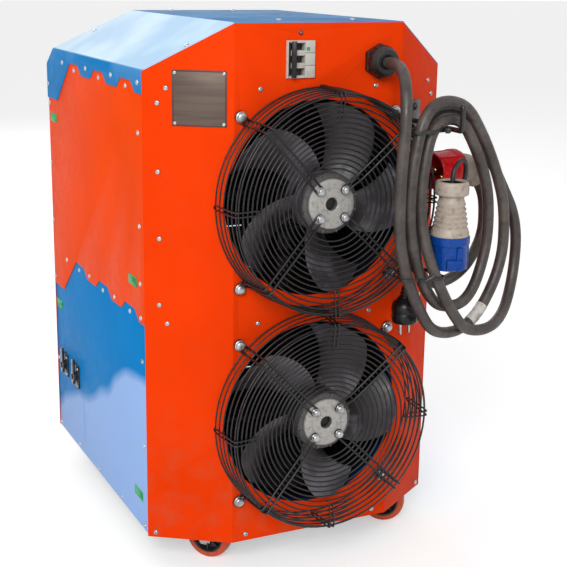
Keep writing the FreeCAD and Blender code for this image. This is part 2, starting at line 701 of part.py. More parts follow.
def swept(edges, direction, diameter, sides):
    start = edges[0].valueAt(edges[0].FirstParameter)
    shell = Part.BRepOffsetAPI.MakePipeShell(Part.Wire(edges))
    shell.setFrenetMode(False)
    section = cord_section(start, direction, diameter, sides)
    shell.add(section)
    shell.build()
    shell.makeSolid()
    solid = shell.shape()
    length = sum(edge.Length for edge in edges)
    print("tube: length %.0f mm, volume over section times length %.4f"
          % (length, solid.Volume / (length * Part.Face(section).Area)))
    return solid


def coil_points():
    # (distance along the cable, point) every few millimetres of the coil
    samples = []
    length = 0.0
    for arc in coil_arcs():
        edge = Part.Arc(*arc).toShape()
        count = max(3, int(edge.Length / 8))
        for i in range(count):
            place = edge.FirstParameter + (edge.LastParameter - edge.FirstParameter) * i / count
            samples.append((length + edge.Length * i / count, edge.valueAt(place)))
        length += edge.Length
    return samples


def report_coil(edges):
    samples = coil_points()
    least = min((point - other).Length for i, (along, point) in enumerate(samples)
                for other_along, other in samples[i + 1:] if other_along - along > 4 * CORD)
    print("coil: tightest radius %.0f mm, least gap %.2f mm"
          % (min(edge.Curve.Radius for edge in edges), least - CORD))


def rounded_route(points):
    # straight runs joined by tangent arcs, each as large as its two runs allow
    edges = []
    radii = []
    here = points[0]
    for before, corner, after in zip(points, points[1:], points[2:]):
        arriving = V(corner - before).normalize()
        leaving = V(after - corner).normalize()
        turn = arriving.getAngle(leaving)
        trim = 0.45 * min((corner - before).Length, (after - corner).Length)
        radius = trim / math.tan(turn / 2)
        radii.append(radius)
        start, end = corner - arriving * trim, corner + leaving * trim
        inside = V(leaving - arriving).normalize()
        middle = corner + inside * (radius / math.cos(turn / 2) - radius)
        edges.append(Part.makeLine(here, start))
        edges.append(Part.Arc(start, middle, end).toShape())
        here = end
    edges.append(Part.makeLine(here, points[-1]))
    print("route radii:", ", ".join("%.0f" % radius for radius in radii))
    return edges


def power_lead():
    points = [V(x, y, BOTTOM + z) for x, y, z in LEAD_ROUTE]
    direction = V(points[1] - points[0]).normalize()
    return swept(rounded_route(points), direction, CORD, CORD_SIDES)


def power_coil():
    edges = [Part.Arc(*arc).toShape() for arc in coil_arcs()]
    report_coil(edges)
    return swept(edges, coil_heading(COIL_ROUTE[0]), CORD, CORD_SIDES)


def adapter_lead():
    points = [in_coil(point) for point in ADAPTER_ROUTE]
    return swept(rounded_route(points), Z_AXIS, ADAPTER_CORD, 6)


def hull(points):
    # convex outline of (x, y) points, anticlockwise
    points = sorted(points)
    chains = []
    for run in (points, points[::-1]):
        chain = []
        for p in run:
            while len(chain) > 1 and ((chain[-1][0] - chain[-2][0]) * (p[1] - chain[-2][1])
                                      - (chain[-1][1] - chain[-2][1]) * (p[0] - chain[-2][0])) <= 0:
                chain.pop()
            chain.append(p)
        chains.append(chain[:-1])
    return chains[0] + chains[1]


def cable_tie(height, reach):
    # a strap round the strands that pass this height left of reach
    width, thick = 5.0, 1.4
    around = []
    for along, point in coil_points():
        offset = point - COIL_START
        if abs(point.z - BOTTOM - height) < 7 and offset.dot(COIL_ALONG) < reach:
            for i in range(12):
                angle = math.radians(30 * i)
                radius = CORD / 2 + 1.8
                around.append((point.x + radius * math.cos(angle), point.y + radius * math.sin(angle)))
    inner = hull(around)
    outer = hull([(x + thick * math.cos(math.radians(30 * i)), y + thick * math.sin(math.radians(30 * i)))
                  for x, y in inner for i in range(12)])
    z0 = BOTTOM + height - width / 2
    return prism(outer, z0, z0 + width).cut(prism(inner, z0 - 1, z0 + width + 1))


# Hook that carries the coil, on the right wing
HOOK_X = 178.0
HOOK_Z = BOTTOM + 647.0
HOOK_ROD = 8.0


def cable_hook():
    along_wing = (HOOK_X - FOLD) / math.cos(math.radians(WING_ANGLE))
    plate = on_wing(box(along_wing - 20, along_wing + 20, -3, 0, HOOK_Z - 32, HOOK_Z + 32), 1)
    foot = (HOOK_X - FOLD) * WING_DEPTH / (HALF - FOLD)
    bend, tip = 12.0, -111.0
    start = V(HOOK_X, foot - 4, HOOK_Z)
    corner = V(HOOK_X, tip + bend, HOOK_Z)
    middle = corner + V(0, -bend * math.sin(math.pi / 4), bend * (1 - math.cos(math.pi / 4)))
    raised = V(HOOK_X, tip, HOOK_Z + bend)
    edges = [Part.makeLine(start, corner), Part.Arc(corner, middle, raised).toShape(),
             Part.makeLine(raised, raised + Z_AXIS * 24)]
    shell = Part.BRepOffsetAPI.MakePipeShell(Part.Wire(edges))
    shell.add(cord_section(start, V(0, -1, 0), HOOK_ROD, 10))
    shell.build()
    shell.makeSolid()
    return fused([plate, shell.shape()])


# Plugs. Red five-pole plug on the cable's end, across the coil behind its turns
RED_AXIS_Z = 578.0
RED_ACROSS = 36.0
RED_FACE = 87.0
RED_SEAT = 139.0
RED_ELBOW = 169.0
COLLAR_DEPTH = 44.0


def plug_collar(base, axis, radius, length, key):
    # open shroud with its flange at the base and the key rib outside, mating face along the axis
    inner = radius - 3.5
    profile = [(0, 0), (radius + 1.5, 0), (radius + 1.5, 12), (radius - 0.5, 15), (radius - 0.5, length),
               (inner, length), (inner, length - COLLAR_DEPTH), (0, length - COLLAR_DEPTH)]
    body = turned(profile, V(0, 0, 0), Z_AXIS)
    rib = box(-5, 5, radius - 2, radius + 2.2, 14, length)
    rib.rotate(V(0, 0, 0), Z_AXIS, key)
    return placed(fused([body, rib]), base, FreeCAD.Rotation(Z_AXIS, axis))


def plug_pins(base, axis, count, spread, length):
    pins = []
    for i in range(count):
        angle = 2 * math.pi * (i + 0.25) / count
        foot = V(spread * math.cos(angle), spread * math.sin(angle), 0)
        pins.append(rod(foot, Z_AXIS, 3.2 if i else 4.0, length))
    return [placed(pin, base, FreeCAD.Rotation(Z_AXIS, axis)) for pin in pins]


def red_plug_collar():
    base = in_coil((RED_SEAT, RED_ACROSS, RED_AXIS_Z))
    return plug_collar(base, COIL_ALONG * -1, 28.0, RED_SEAT - RED_FACE, 90)


def red_plug_pins():
    length = RED_SEAT - RED_FACE
    base = in_coil((RED_SEAT - (length - COLLAR_DEPTH), RED_ACROSS, RED_AXIS_Z))
    return plug_pins(base, COIL_ALONG * -1, 5, 14.0, COLLAR_DEPTH - 6)


def red_plug_body():
    base = in_coil((RED_SEAT, RED_ACROSS, RED_AXIS_Z))
    reach = RED_ELBOW - RED_SEAT
    cone = turned([(0, 0), (26.5, 0), (26.5, 8), (24, 10), (20, reach), (0, reach)], base, COIL_ALONG)
    elbow = in_coil((RED_ELBOW, RED_ACROSS, RED_AXIS_Z))
    ball = Part.makeSphere(20, elbow)
    end = in_coil(COIL_ROUTE[-1])
    heading = coil_heading(COIL_ROUTE[-1])
    length = 30.0
    profile = [(0, 0), (15, 0), (15, 4)]
    for i in range(4):
        profile += [(17.5, 6 + 4 * i), (15.5, 8 + 4 * i)]
    profile += [(18, 24), (18, length), (0, length)]
    gland = turned(profile, end, heading)
    return fused([cone, ball, gland])


# Blue three-pole connector, hanging inside the coil
BLUE_ALONG = 66.0
BLUE_ACROSS = -27.0
BLUE_FACE = 441.0
BLUE_SEAT = 491.0
BLUE_TOP = 573.0


def blue_plug_body():
    height = BLUE_TOP - BLUE_SEAT
    profile = [(0, 0), (29, 0), (29, 6), (27, 9)]
    ribs = 5
    for i in range(ribs):
        level = 14 + 7.5 * i
        radius = 26.5 - 1.2 * i
        profile += [(radius - 1.6, level), (radius, level + 5)]
    profile += [(19, 56), (19, 60), (24.5, 62), (25.5, 68), (25.5, height - 4), (23, height), (12, height),
                (12, height - 10), (0, height - 10)]
    return turned(profile, in_coil((BLUE_ALONG, BLUE_ACROSS, BLUE_SEAT)), Z_AXIS)


def blue_plug_collar():
    # with the knuckle of its spring lid at the front of the mouth
    base = in_coil((BLUE_ALONG, BLUE_ACROSS, BLUE_SEAT))
    collar = plug_collar(base, V(0, 0, -1), 29.0, BLUE_SEAT - BLUE_FACE, 90)
    knuckle = box(-13, 13, -35, -24, BLUE_FACE + 2, BLUE_FACE + 18)
    knuckle = knuckle.cut(rod(V(0, 0, BLUE_FACE), Z_AXIS, 27, 30))
    knuckle.rotate(V(0, 0, 0), Z_AXIS, -16)
    middle = in_coil((BLUE_ALONG, BLUE_ACROSS, 0))
    return fused([collar, placed(knuckle, middle)])


def blue_plug_pins():
    length = BLUE_SEAT - BLUE_FACE
    base = in_coil((BLUE_ALONG, BLUE_ACROSS, BLUE_SEAT - (length - COLLAR_DEPTH)))
    return plug_pins(base, V(0, 0, -1), 3, 12.0, COLLAR_DEPTH - 6)


# Black plug on the adapter's thin lead
BLACK_TOP = 401.0


def black_plug():
    profile = [(0, 0), (6, 0), (6.5, 4), (8, 5), (7, 9), (8.5, 10), (8, 15), (10, 17), (13, 21), (19, 27), (21, 32),
               (21, 40), (19.5, 42), (19.5, 58), (0, 58)]
    base = in_coil((47, 40, BLACK_TOP))
    body = turned(profile, base, V(0, 0, -1))
    pins = [rod(base + COIL_ALONG * offset - Z_AXIS * 57, V(0, 0, -1), 2.4, 20) for offset in (-9.5, 9.5)]
    return fused([body] + pins)


def front_screws():
    heads = []
    for x, z in ((-96, 705.6), (94, 705.7), (-96, 355), (94, 355), (-114.5, 11), (112.5, 11)):
        heads.append(screw_head(V(x, 0, BOTTOM + z), V(0, -1, 0)))
    for x, z in ((220, 705.7), (231, 683.9), (231, 583.8), (230, 484), (231, 382), (221, 353.5), (239, 8)):
        along = (x - FOLD) / math.cos(math.radians(WING_ANGLE))
        for side in (-1, 1):
            heads.append(on_wing(screw_head(V(side * along, 0, BOTTOM + z), V(0, -1, 0)), side))
    return heads


# Screws of the side sheets by the sheet that they sit on, as (y, z from the cabinet's lower edge)
SIDE_SCREWS = (
    (0, ((92.6, 711), (218.6, 711), (356, 710), (497, 709), (598, 664))),
    (1, ((152, 701), (288.5, 701), (430.5, 700), (598, 629), (97, 637), (97, 497), (97, 408), (97, 354),
         (229, 354), (369, 355), (512, 352), (598, 519), (598, 411), (598, 302))),
    (2, ((154, 350), (297, 348), (437, 350), (97, 284), (97, 144), (97, 8), (598, 139), (216, 8),
         (343, 8), (467, 8), (593, 8))),
)


def side_screws():
    heads = []
    for level, places in SIDE_SCREWS:
        for y, z in places:
            for side in (-1, 1):
                spot = V(side * (HALF - level * SHEET), y, BOTTOM + z)
                heads.append(screw_head(spot, V(side, 0, 0)))
    return heads


def roof_screws():
    heads = []
    for side in (-1, 1):
        for x, y in ((192, 44), (195, 480)):
            spot = V(side * x, y, TOP - SIDE_SLOPE * (x - FOLD))
            heads.append(screw_head(spot, V(side * SIDE_SLOPE, 0, 1)))
    return heads


def rear_screws():
    heads = []
    y = DEPTH - SHEET
    for z in (12, 120, 230, 350, 460, 570):
        for side in (-1, 1):
            heads.append(screw_head(V(side * 232, y, BOTTOM + z), Y_AXIS, 7.0, 1.5))
    for x in (-200, -70, 70, 200):
        heads.append(screw_head(V(x, DEPTH, BOTTOM + 668), Y_AXIS))
    return heads


# Two turn latches on the left lower panel
LATCHES = {"front": (472.0, BOTTOM + 141.0), "rear": (545.0, BOTTOM + 141.0)}
LATCH_PIN = 3.5


def latch_base(y, z):
    face = -(HALF - 2 * SHEET)
    plate = box(face - 3, face, y - 15, y + 15, z - 21, z + 21)
    boss = rod(V(face - 3, y, z), V(-1, 0, 0), 9, 2)
    pin = rod(V(face - 4, y, z), V(-1, 0, 0), LATCH_PIN, 6.6)
    cap = Part.makeCone(5.5, 4, 1.8, V(face - 10.4, y, z), V(-1, 0, 0))
    return fused([plate, boss, pin, cap])


def latch_lever(y, z):
    face = -(HALF - 2 * SHEET) - 5.3
    hub = rod(V(face, y, z), V(-1, 0, 0), 9, 4.8)
    grip = [(-5.5, 0), (-5, 30), (-3, 33), (3, 33), (5, 30), (5.5, 0)]
    blade = plate_of([V(face, y + a, z + b) for a, b in grip], V(-4.8, 0, 0))
    pawl = plate_of([V(face, y + a, z - b) for a, b in ((-5, 0), (-4, 14), (4, 14), (5, 0))], V(-4.8, 0, 0))
    bore = rod(V(face + 1, y, z), V(-1, 0, 0), LATCH_PIN + RUNNING_CLEARANCE, 10)
    return fused([hub, blade, pawl]).cut(bore)


def seal_labels():
    # thin foil seals across the corners of the left side panels
    labels = []
    for level, y, z in ((1, 572, 605), (2, 580, 252), (1, 134, 405), (2, 125, 53)):
        face = -(HALF - level * SHEET)
        labels.append(box(face - 0.6, face, y - 20, y + 20, BOTTOM + z - 8, BOTTOM + z + 8))
    return labels


def wheel_parts():
    # tyre and hub, standing on the axle's line along Y at the origin
    half = WHEEL_WIDTH / 2
    tyre = turned([(RIM_RADIUS, -half + 1), (34, -half + 1), (36.6, -half + 4), (WHEEL_RADIUS, -half + 8),
                   (WHEEL_RADIUS, half - 8), (36.6, half - 4), (34, half - 1), (RIM_RADIUS, half - 1)],
                  V(0, 0, 0), Y_AXIS)
    bore = AXLE_RADIUS + RUNNING_CLEARANCE
    hub = turned([(bore, -half - 1.5), (10, -half - 1.5), (12, -3), (23, -3), (24.5, -half + 1),
                  (RIM_RADIUS, -half + 1), (RIM_RADIUS, half - 1), (24.5, half - 1), (23, 3), (12, 3),
                  (10, half + 1.5), (bore, half + 1.5)], V(0, 0, 0), Y_AXIS)
    return tyre, hub


def castor_fork():
    # swivel axis at X = Y = 0, wheel trailing towards +X
    gap, wall = WHEEL_WIDTH / 2 + 2.5, 2.5
    crown = CASTOR_TOP - 11.3
    top = rod(V(0, 0, crown - 3), Z_AXIS, 21, 3)
    bridge = box(-16, 22, -gap - wall, gap + wall, crown - 3, crown)
    legs = []
    for side in (-1, 1):
        y0 = side * gap
        points = [(-16, crown), (22, crown), (CASTOR_TRAIL + 11, WHEEL_RADIUS + 6), (CASTOR_TRAIL + 8, 29),
                  (CASTOR_TRAIL - 8, 29), (CASTOR_TRAIL - 12, WHEEL_RADIUS + 4)]
        legs.append(plate_of([V(x, y0, z) for x, z in points], V(0, side * wall, 0)))
    fork = fused([top, bridge] + legs)
    cuts = [rod(V(0, 0, 0), Z_AXIS, AXLE_RADIUS + RUNNING_CLEARANCE, CASTOR_TOP),
            rod(V(CASTOR_TRAIL, -40, WHEEL_RADIUS), Y_AXIS, AXLE_RADIUS, 80)]
    return fork.cut(cuts)


def castor_axle():
    reach = WHEEL_WIDTH / 2 + 5
    shaft = rod(V(CASTOR_TRAIL, -reach - 7, WHEEL_RADIUS), Y_AXIS, AXLE_RADIUS, 2 * reach + 14)
    head = hexagon(V(CASTOR_TRAIL, -reach - 6, WHEEL_RADIUS), Y_AXIS, 17, 6)
    nut = hexagon(V(CASTOR_TRAIL, reach, WHEEL_RADIUS), Y_AXIS, 17, 6)
    return fused([shaft, head, nut])


def castor_plate():
    # top plate, ball race and king pin
    plate = box(-36, 36, -29, 29, CASTOR_TOP - 3, CASTOR_TOP)
    slots = [rod(V(x, y, CASTOR_TOP - 5), Z_AXIS, 4.2, 10) for x in (-29, 29) for y in (-22, 22)]
    race = turned([(0, -11), (18, -11), (21, -8), (21, -3), (0, -3)], V(0, 0, CASTOR_TOP), Z_AXIS)
    pin = rod(V(0, 0, CASTOR_TOP - 19), Z_AXIS, AXLE_RADIUS, 12)
    return fused([plate.cut(slots), race, pin])


def castor_place(shape, name):
    x, y, heading = CASTORS[name]
    return placed(shape, V(x, y, 0), FreeCAD.Rotation(Z_AXIS, heading))


def main():
    os.makedirs("parts", exist_ok=True)
    export("front_panel", front_panel())
    export("roof_cover", roof_cover())
    for name, side in (("left", -1), ("right", 1)):
        export("%s_upper_panel" % name, upper_side_panel(side))
        export("%s_lower_panel" % name, lower_side_panel(side))
    export("rear_panel", rear_panel())
    export("base_plate", base_plate())
    export("bottom_rails", *bottom_rails())
    export("corner_posts", *corner_posts())
    for name, z in FAN_HEIGHTS.items():
        export("%s_fan_ring" % name, fan_ring(z))
        export("%s_fan_guard" % name, guard(z))
        export("%s_fan_motor" % name, motor(z))
        export("%s_fan_rotor" % name, rotor(z))
        export("%s_heater_bank" % name, heater_bank(z, HALF - (3 if name == "lower" else 2) * SHEET))
    export("rear_louvres", *[rear_louvre(z) for z in OUTLET_HEIGHTS.values()])
    export("motor_bolts", *motor_bolts())
    export("guard_bolts", *guard_bolts())
    export("breaker_body", breaker_body())
    export("breaker_levers", breaker_levers())
    export("indicator_lamp", indicator_lamp())
    export("nameplate", nameplate())
    export("cable_gland", cable_gland(), gland_cap())
    export("power_lead", power_lead())
    export("power_coil", power_coil())
    export("coil_ties", cable_tie(650, 60), cable_tie(433, 80))
    export("cable_hook", cable_hook())
    export("red_plug_body", red_plug_body())
    export("red_plug_collar", red_plug_collar())
    export("blue_plug_body", blue_plug_body())
    export("blue_plug_collar", blue_plug_collar())
    export("plug_pins", *(red_plug_pins() + blue_plug_pins()))
    export("adapter_lead", adapter_lead())
    export("black_plug", black_plug())
    export("control_tray", control_tray())
    export("contactors", *contactors())
    export("front_screws", *(front_screws() + plate_rivets()))
    export("panel_screws", *(side_screws() + roof_screws() + rear_screws()))
    export("latch_bases", *[latch_base(y, z) for y, z in LATCHES.values()])
    for name, (y, z) in LATCHES.items():
        export("%s_latch_lever" % name, latch_lever(y, z))
    export("seal_labels", *seal_labels())
    plates = []
    tyre, hub = wheel_parts()
    spot = V(CASTOR_TRAIL, 0, WHEEL_RADIUS)
    for name in CASTORS:
        plates.append(castor_place(castor_plate(), name))
        export("%s_castor_fork" % name, castor_place(castor_fork(), name), castor_place(castor_axle(), name))
        export("%s_castor_tyre" % name, castor_place(placed(tyre, spot), name))
        export("%s_castor_hub" % name, castor_place(placed(hub, spot), name))
    export("castor_plates", *plates)


main()
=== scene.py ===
# %% [markdown]
# # A car dryer blower, dressed in Blender
#
# This lesson dresses one machine: a wheeled sheet-steel cabinet that blows warm air over a car. Two axial
# fans stand behind black wire guards in its front, and a thick supply cable hangs in a loose coil at its
# right front corner. The exact shapes and places come from a imported model, and the lesson gives them round
# wires, soft edges, moulded plastic, dusty rubber and glossy paint.

# %% [markdown]
# ## Bring in the imported model
#
# The model is the fixed frame: its pieces are never moved. A new piece either rides beside them or takes the
# place of one.

# %% Load the frame
import math

import bpy
import numpy as np
from mathutils import Matrix, Vector


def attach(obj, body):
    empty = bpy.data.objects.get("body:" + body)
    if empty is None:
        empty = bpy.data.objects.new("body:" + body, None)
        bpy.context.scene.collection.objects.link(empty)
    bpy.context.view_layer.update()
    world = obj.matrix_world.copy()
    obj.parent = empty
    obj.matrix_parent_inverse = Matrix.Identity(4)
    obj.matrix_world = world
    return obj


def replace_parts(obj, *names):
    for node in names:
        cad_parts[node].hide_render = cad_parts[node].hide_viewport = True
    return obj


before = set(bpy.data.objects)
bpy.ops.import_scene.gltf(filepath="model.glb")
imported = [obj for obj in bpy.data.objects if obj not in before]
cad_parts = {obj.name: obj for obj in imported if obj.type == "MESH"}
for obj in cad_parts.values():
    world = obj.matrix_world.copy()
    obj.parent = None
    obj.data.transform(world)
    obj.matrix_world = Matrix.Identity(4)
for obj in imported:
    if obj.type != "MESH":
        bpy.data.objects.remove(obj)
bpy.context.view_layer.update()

# %% [markdown]
# ## Sizes of the machine
#
# All places are written in the cabinet's own millimetres: X to its right, Y from the flat middle of its front
# to the back, Z up from the floor. One shift and one scale carry a finished piece into the model's metres.

# %% Main sizes in millimetres
MM = 0.001
SHIFT = Vector((3.4, -246.2, 0)) * MM
BOTTOM = 54
FOLD = 137.5
HALF_WIDTH = 250
DEPTH = 605
HEIGHT = 800
WING_DEPTH = 75
WING_TURN = math.atan2(WING_DEPTH, HALF_WIDTH - FOLD)
FAN_HEIGHTS = {"lower": BOTTOM + 197.5, "upper": BOTTOM + 539.5}
TO_FRONT = (0, -1, 0)


def at(x, y, z):
    return Vector((x, y, z)) * MM + SHIFT


# %% [markdown]
# ## Stand the camera where the photographer stood
#
# The cabinet's own straight edges fix the place: left of the front, a little above the roof's height and
# about two metres away. A long lens keeps the edges nearly parallel, as in the picture.

# %% Camera
CAMERA_PLACE = (-812.6, -1580.3, 929.6)
CAMERA_TURN = (75.219, -0.844, -25.399)
bpy.ops.object.camera_add(location=at(*CAMERA_PLACE), rotation=[math.radians(a) for a in CAMERA_TURN])
camera = bpy.context.object
camera.name = "camera"
camera.data.sensor_width = 36
camera.data.lens = 76.16
camera.data.clip_end = 100
bpy.context.scene.camera = camera
print("camera", [round(v, 3) for v in camera.location])

# %% [markdown]
# ## Small tools for shaping
#
# Three tools make most of the new pieces. A lathe spins a drawn profile once round an axis, as a turner does.
# A block is a cube with eased edges. An outline is filled and pulled out to a thickness, like a piece cut
# from sheet. Each is modelled in millimetres, and the last step of a piece puts it into metres.


# %% Helpers: selection, lathe, block, outline
def only(*pieces):
    bpy.ops.object.select_all(action="DESELECT")
    for piece in pieces:
        piece.select_set(True)
    bpy.context.view_layer.objects.active = pieces[0]


def settle(piece):
    """Put the piece's turn, shift and size into its mesh."""
    only(piece)
    bpy.ops.object.transform_apply(location=True, rotation=True, scale=True)
    return piece


def turned(piece, degrees):
    """Turn the piece round the Z axis."""
    piece.rotation_euler.z = math.radians(degrees)
    return settle(piece)


def start_point(name, place):
    """A mesh of a single vertex, left in edit mode and selected."""
    bpy.ops.object.select_all(action="DESELECT")
    bpy.ops.mesh.primitive_plane_add(size=1)
    bpy.context.object.name = name
    bpy.ops.object.mode_set(mode="EDIT")
    bpy.ops.mesh.select_all(action="SELECT")
    bpy.ops.mesh.merge(type="CENTER")
    bpy.ops.transform.translate(value=place)
    return bpy.context.object


def pull_along(points):
    for before, after in zip(points, points[1:]):
        step = [b - a for a, b in zip(before, after)]
        bpy.ops.mesh.extrude_vertices_move(TRANSFORM_OT_translate={"value": step})


def close_shell():
    bpy.ops.mesh.select_all(action="SELECT")
    bpy.ops.mesh.remove_doubles(threshold=0.001)
    bpy.ops.mesh.normals_make_consistent(inside=False)
    bpy.ops.object.mode_set(mode="OBJECT")


def lathe(name, profile, steps=48):
    """Spin (radius, height) points once round the Z axis."""
    points = [(radius, 0, height) for radius, height in profile]
    piece = start_point(name, points[0])
    pull_along(points)
    bpy.ops.mesh.select_all(action="SELECT")
    bpy.ops.mesh.spin(steps=steps, angle=2 * math.pi, center=(0, 0, 0), axis=(0, 0, 1))
    close_shell()
    return piece


def ease(piece, width, segments=2, angle=30):
    """Round the sharp edges with a bevel."""
    only(piece)
    bevel = piece.modifiers.new("ease", "BEVEL")
    bevel.width = width
    bevel.segments = segments
    bevel.limit_method = "ANGLE"
    bevel.angle_limit = math.radians(angle)
    bpy.ops.object.modifier_apply(modifier=bevel.name)
    return piece


def block(name, low, high, edge=0.0):
    middle = [(a + b) / 2 for a, b in zip(low, high)]
    size = [b - a for a, b in zip(low, high)]
    bpy.ops.object.select_all(action="DESELECT")
    bpy.ops.mesh.primitive_cube_add(size=1, location=middle, scale=size)
    piece = bpy.context.object
    piece.name = name
    bpy.ops.object.transform_apply(location=True, rotation=True, scale=True)
    return ease(piece, edge) if edge else piece


def cut_sheet(name, outline, height, edge=0.0):
    """Fill (x, y) points and pull the face up by height."""
    points = [(x, y, 0) for x, y in outline]
    piece = start_point(name, points[0])
    pull_along(points)
    bpy.ops.mesh.select_all(action="SELECT")
    bpy.ops.mesh.edge_face_add()
    bpy.ops.mesh.extrude_region_move(TRANSFORM_OT_translate={"value": (0, 0, height)})
    close_shell()
    return ease(piece, edge) if edge else piece


# %% [markdown]
# The next tools place, copy, join and finish the pieces. A finished piece's object sits at the origin and its
# place is in its mesh, so a pattern in its material keeps to the real surface.


# %% Helpers: place, copy, join, finish
def stand(piece, base, axis=(0, 0, 1), turn=0.0):
    """Turn the piece's Z axis to axis and set its foot on base."""
    swing = Vector((0, 0, 1)).rotation_difference(Vector(axis)).to_matrix().to_4x4()
    piece.matrix_world = Matrix.Translation(base) @ swing @ Matrix.Rotation(math.radians(turn), 4, "Z")
    return settle(piece)


def copy_of(piece):
    only(piece)
    bpy.ops.object.duplicate()
    return bpy.context.object


def copies(piece, places):
    """Copies of a piece at (base, axis) places, joined; the pattern itself is used up."""
    made = [stand(copy_of(piece), base, axis) for base, axis in places]
    bpy.data.objects.remove(piece)
    return joined(made)


def joined(pieces):
    only(*pieces)
    bpy.ops.object.join()
    return bpy.context.object


def to_metres(piece):
    piece.scale = (MM, MM, MM)
    piece.location = SHIFT
    return settle(piece)


def dress(piece, name, finish, body="cabinet", replaced=(), smooth=35):
    """The last step of every piece: its name, finish, shading and what it rides on and stands for."""
    piece.name = name
    piece.data.name = name
    piece.data.materials.clear()
    for layer in finish if isinstance(finish, list) else [finish]:
        piece.data.materials.append(layer)
    if piece.type == "MESH":
        only(piece)
        bpy.ops.object.shade_smooth_by_angle(angle=math.radians(smooth))
    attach(piece, body)
    if replaced:
        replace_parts(piece, *replaced)
    return piece

# %% [markdown]
# ## Finishes
#
# No real surface is one flat colour. Powder coat has a fine orange-peel skin and a little dust low down, cast
# metal is grainy, rubber cable is scuffed and dusty. Each finish below starts from the Principled shader and
# adds patterns read from Object coordinates, in metres, so that grain and dust keep their real scale.


# %% Helpers: building a finish
def linear(red, green, blue):
    """A colour picked on screen, as the shader's linear light."""
    channels = [c / 255 for c in (red, green, blue)]
    return [((c + 0.055) / 1.055) ** 2.4 if c > 10 / 255 else c / 12.92 for c in channels] + [1]


class Finish:
    """A Principled shader with the few nodes that every finish here is made of."""

    def __init__(self, name, colour, roughness=0.5, metallic=0.0, **sockets):
        self.material = bpy.data.materials.new(name)
        self.material.use_nodes = True
        self.tree = self.material.node_tree
        self.shader = self.tree.nodes["Principled BSDF"]
        self.place = self.tree.nodes.new("ShaderNodeTexCoord").outputs["Object"]
        self.colour = colour
        self.shader.inputs["Base Color"].default_value = colour
        self.shader.inputs["Roughness"].default_value = roughness
        self.shader.inputs["Metallic"].default_value = metallic
        for socket, value in sockets.items():
            self.shader.inputs[socket.replace("_", " ")].default_value = value

    def link(self, source, target):
        self.tree.links.new(source, target)

    def noise(self, scale, detail=3.0, stretch=(1, 1, 1)):
        """A cloudy pattern with about scale spots to the metre, drawn out where stretch is below one."""
        mapping = self.tree.nodes.new("ShaderNodeMapping")
        mapping.inputs["Scale"].default_value = stretch
        pattern = self.tree.nodes.new("ShaderNodeTexNoise")
        pattern.inputs["Scale"].default_value = scale
        pattern.inputs["Detail"].default_value = detail
        self.link(self.place, mapping.inputs["Vector"])
        self.link(mapping.outputs[0], pattern.inputs["Vector"])
        return pattern.outputs["Fac"]

    def window(self, value, low, high, first=0.0, last=1.0):
        """Spread the part of a value from low to high over first to last."""
        spread = self.tree.nodes.new("ShaderNodeMapRange")
        for socket, number in zip(("From Min", "From Max", "To Min", "To Max"), (low, high, first, last)):
            spread.inputs[socket].default_value = number
        self.link(value, spread.inputs["Value"])
        return spread.outputs["Result"]

    def along(self, letter):
        """One coordinate of the surface."""
        split = self.tree.nodes.new("ShaderNodeSeparateXYZ")
        self.link(self.place, split.inputs[0])
        return split.outputs[letter]

    def height(self, low, high, first=0.0, last=1.0):
        return self.window(self.along("Z"), low, high, first, last)

    def reckon(self, operation, *values):
        """A sum with sockets and plain numbers."""
        step = self.tree.nodes.new("ShaderNodeMath")
        step.operation = operation
        for value, socket in zip(values, step.inputs):
            if isinstance(value, (int, float)):
                socket.default_value = value
            else:
                self.link(value, socket)
        return step.outputs[0]

    def times(self, a, b):
        return self.reckon("MULTIPLY", a, b)

    def from_middle(self):
        """The distance from the cabinet's middle plane, to either side."""
        return self.reckon("ABSOLUTE", self.reckon("SUBTRACT", self.along("X"), SHIFT.x))

    def behind_front(self):
        """The depth behind the folded front, its wings included."""
        wing = self.reckon("MAXIMUM", self.reckon("SUBTRACT", self.from_middle(), FOLD * MM), 0.0)
        depth = self.reckon("SUBTRACT", self.along("Y"), SHIFT.y)
        return self.reckon("SUBTRACT", depth, self.reckon("MULTIPLY", wing, math.tan(WING_TURN)))

    def tint(self, amount, colour):
        """Lay a second colour over the first by amount."""
        mix = self.tree.nodes.new("ShaderNodeMix")
        mix.data_type = "RGBA"
        source = self.shader.inputs["Base Color"]
        if source.is_linked:
            self.link(source.links[0].from_socket, mix.inputs[6])
        else:
            mix.inputs[6].default_value = self.colour
        mix.inputs[7].default_value = colour
        self.link(amount, mix.inputs[0])
        self.link(mix.outputs[2], source)
        return self

    def cloud(self, scale, detail, low, high, colour, most=1.0, stretch=(1, 1, 1)):
        """Lay a second colour in clouds over the first, up to most of it."""
        return self.tint(self.window(self.noise(scale, detail, stretch), low, high, 0, most), colour)

    def rough(self, amount):
        self.link(amount, self.shader.inputs["Roughness"])
        return self

    def wear(self, scale, detail, low, high, stretch=(1, 1, 1)):
        """Let the roughness wander between low and high."""
        return self.rough(self.window(self.noise(scale, detail, stretch), 0.3, 0.7, low, high))

    def bump(self, pattern, depth, strength=1.0):
        """Raise the surface by depth millimetres where the pattern is bright."""
        node = self.tree.nodes.new("ShaderNodeBump")
        node.inputs["Strength"].default_value = strength
        node.inputs["Distance"].default_value = depth * MM
        source = self.shader.inputs["Normal"]
        if source.is_linked:
            self.link(source.links[0].from_socket, node.inputs["Normal"])
        self.link(pattern, node.inputs["Height"])
        self.link(node.outputs[0], source)
        return self
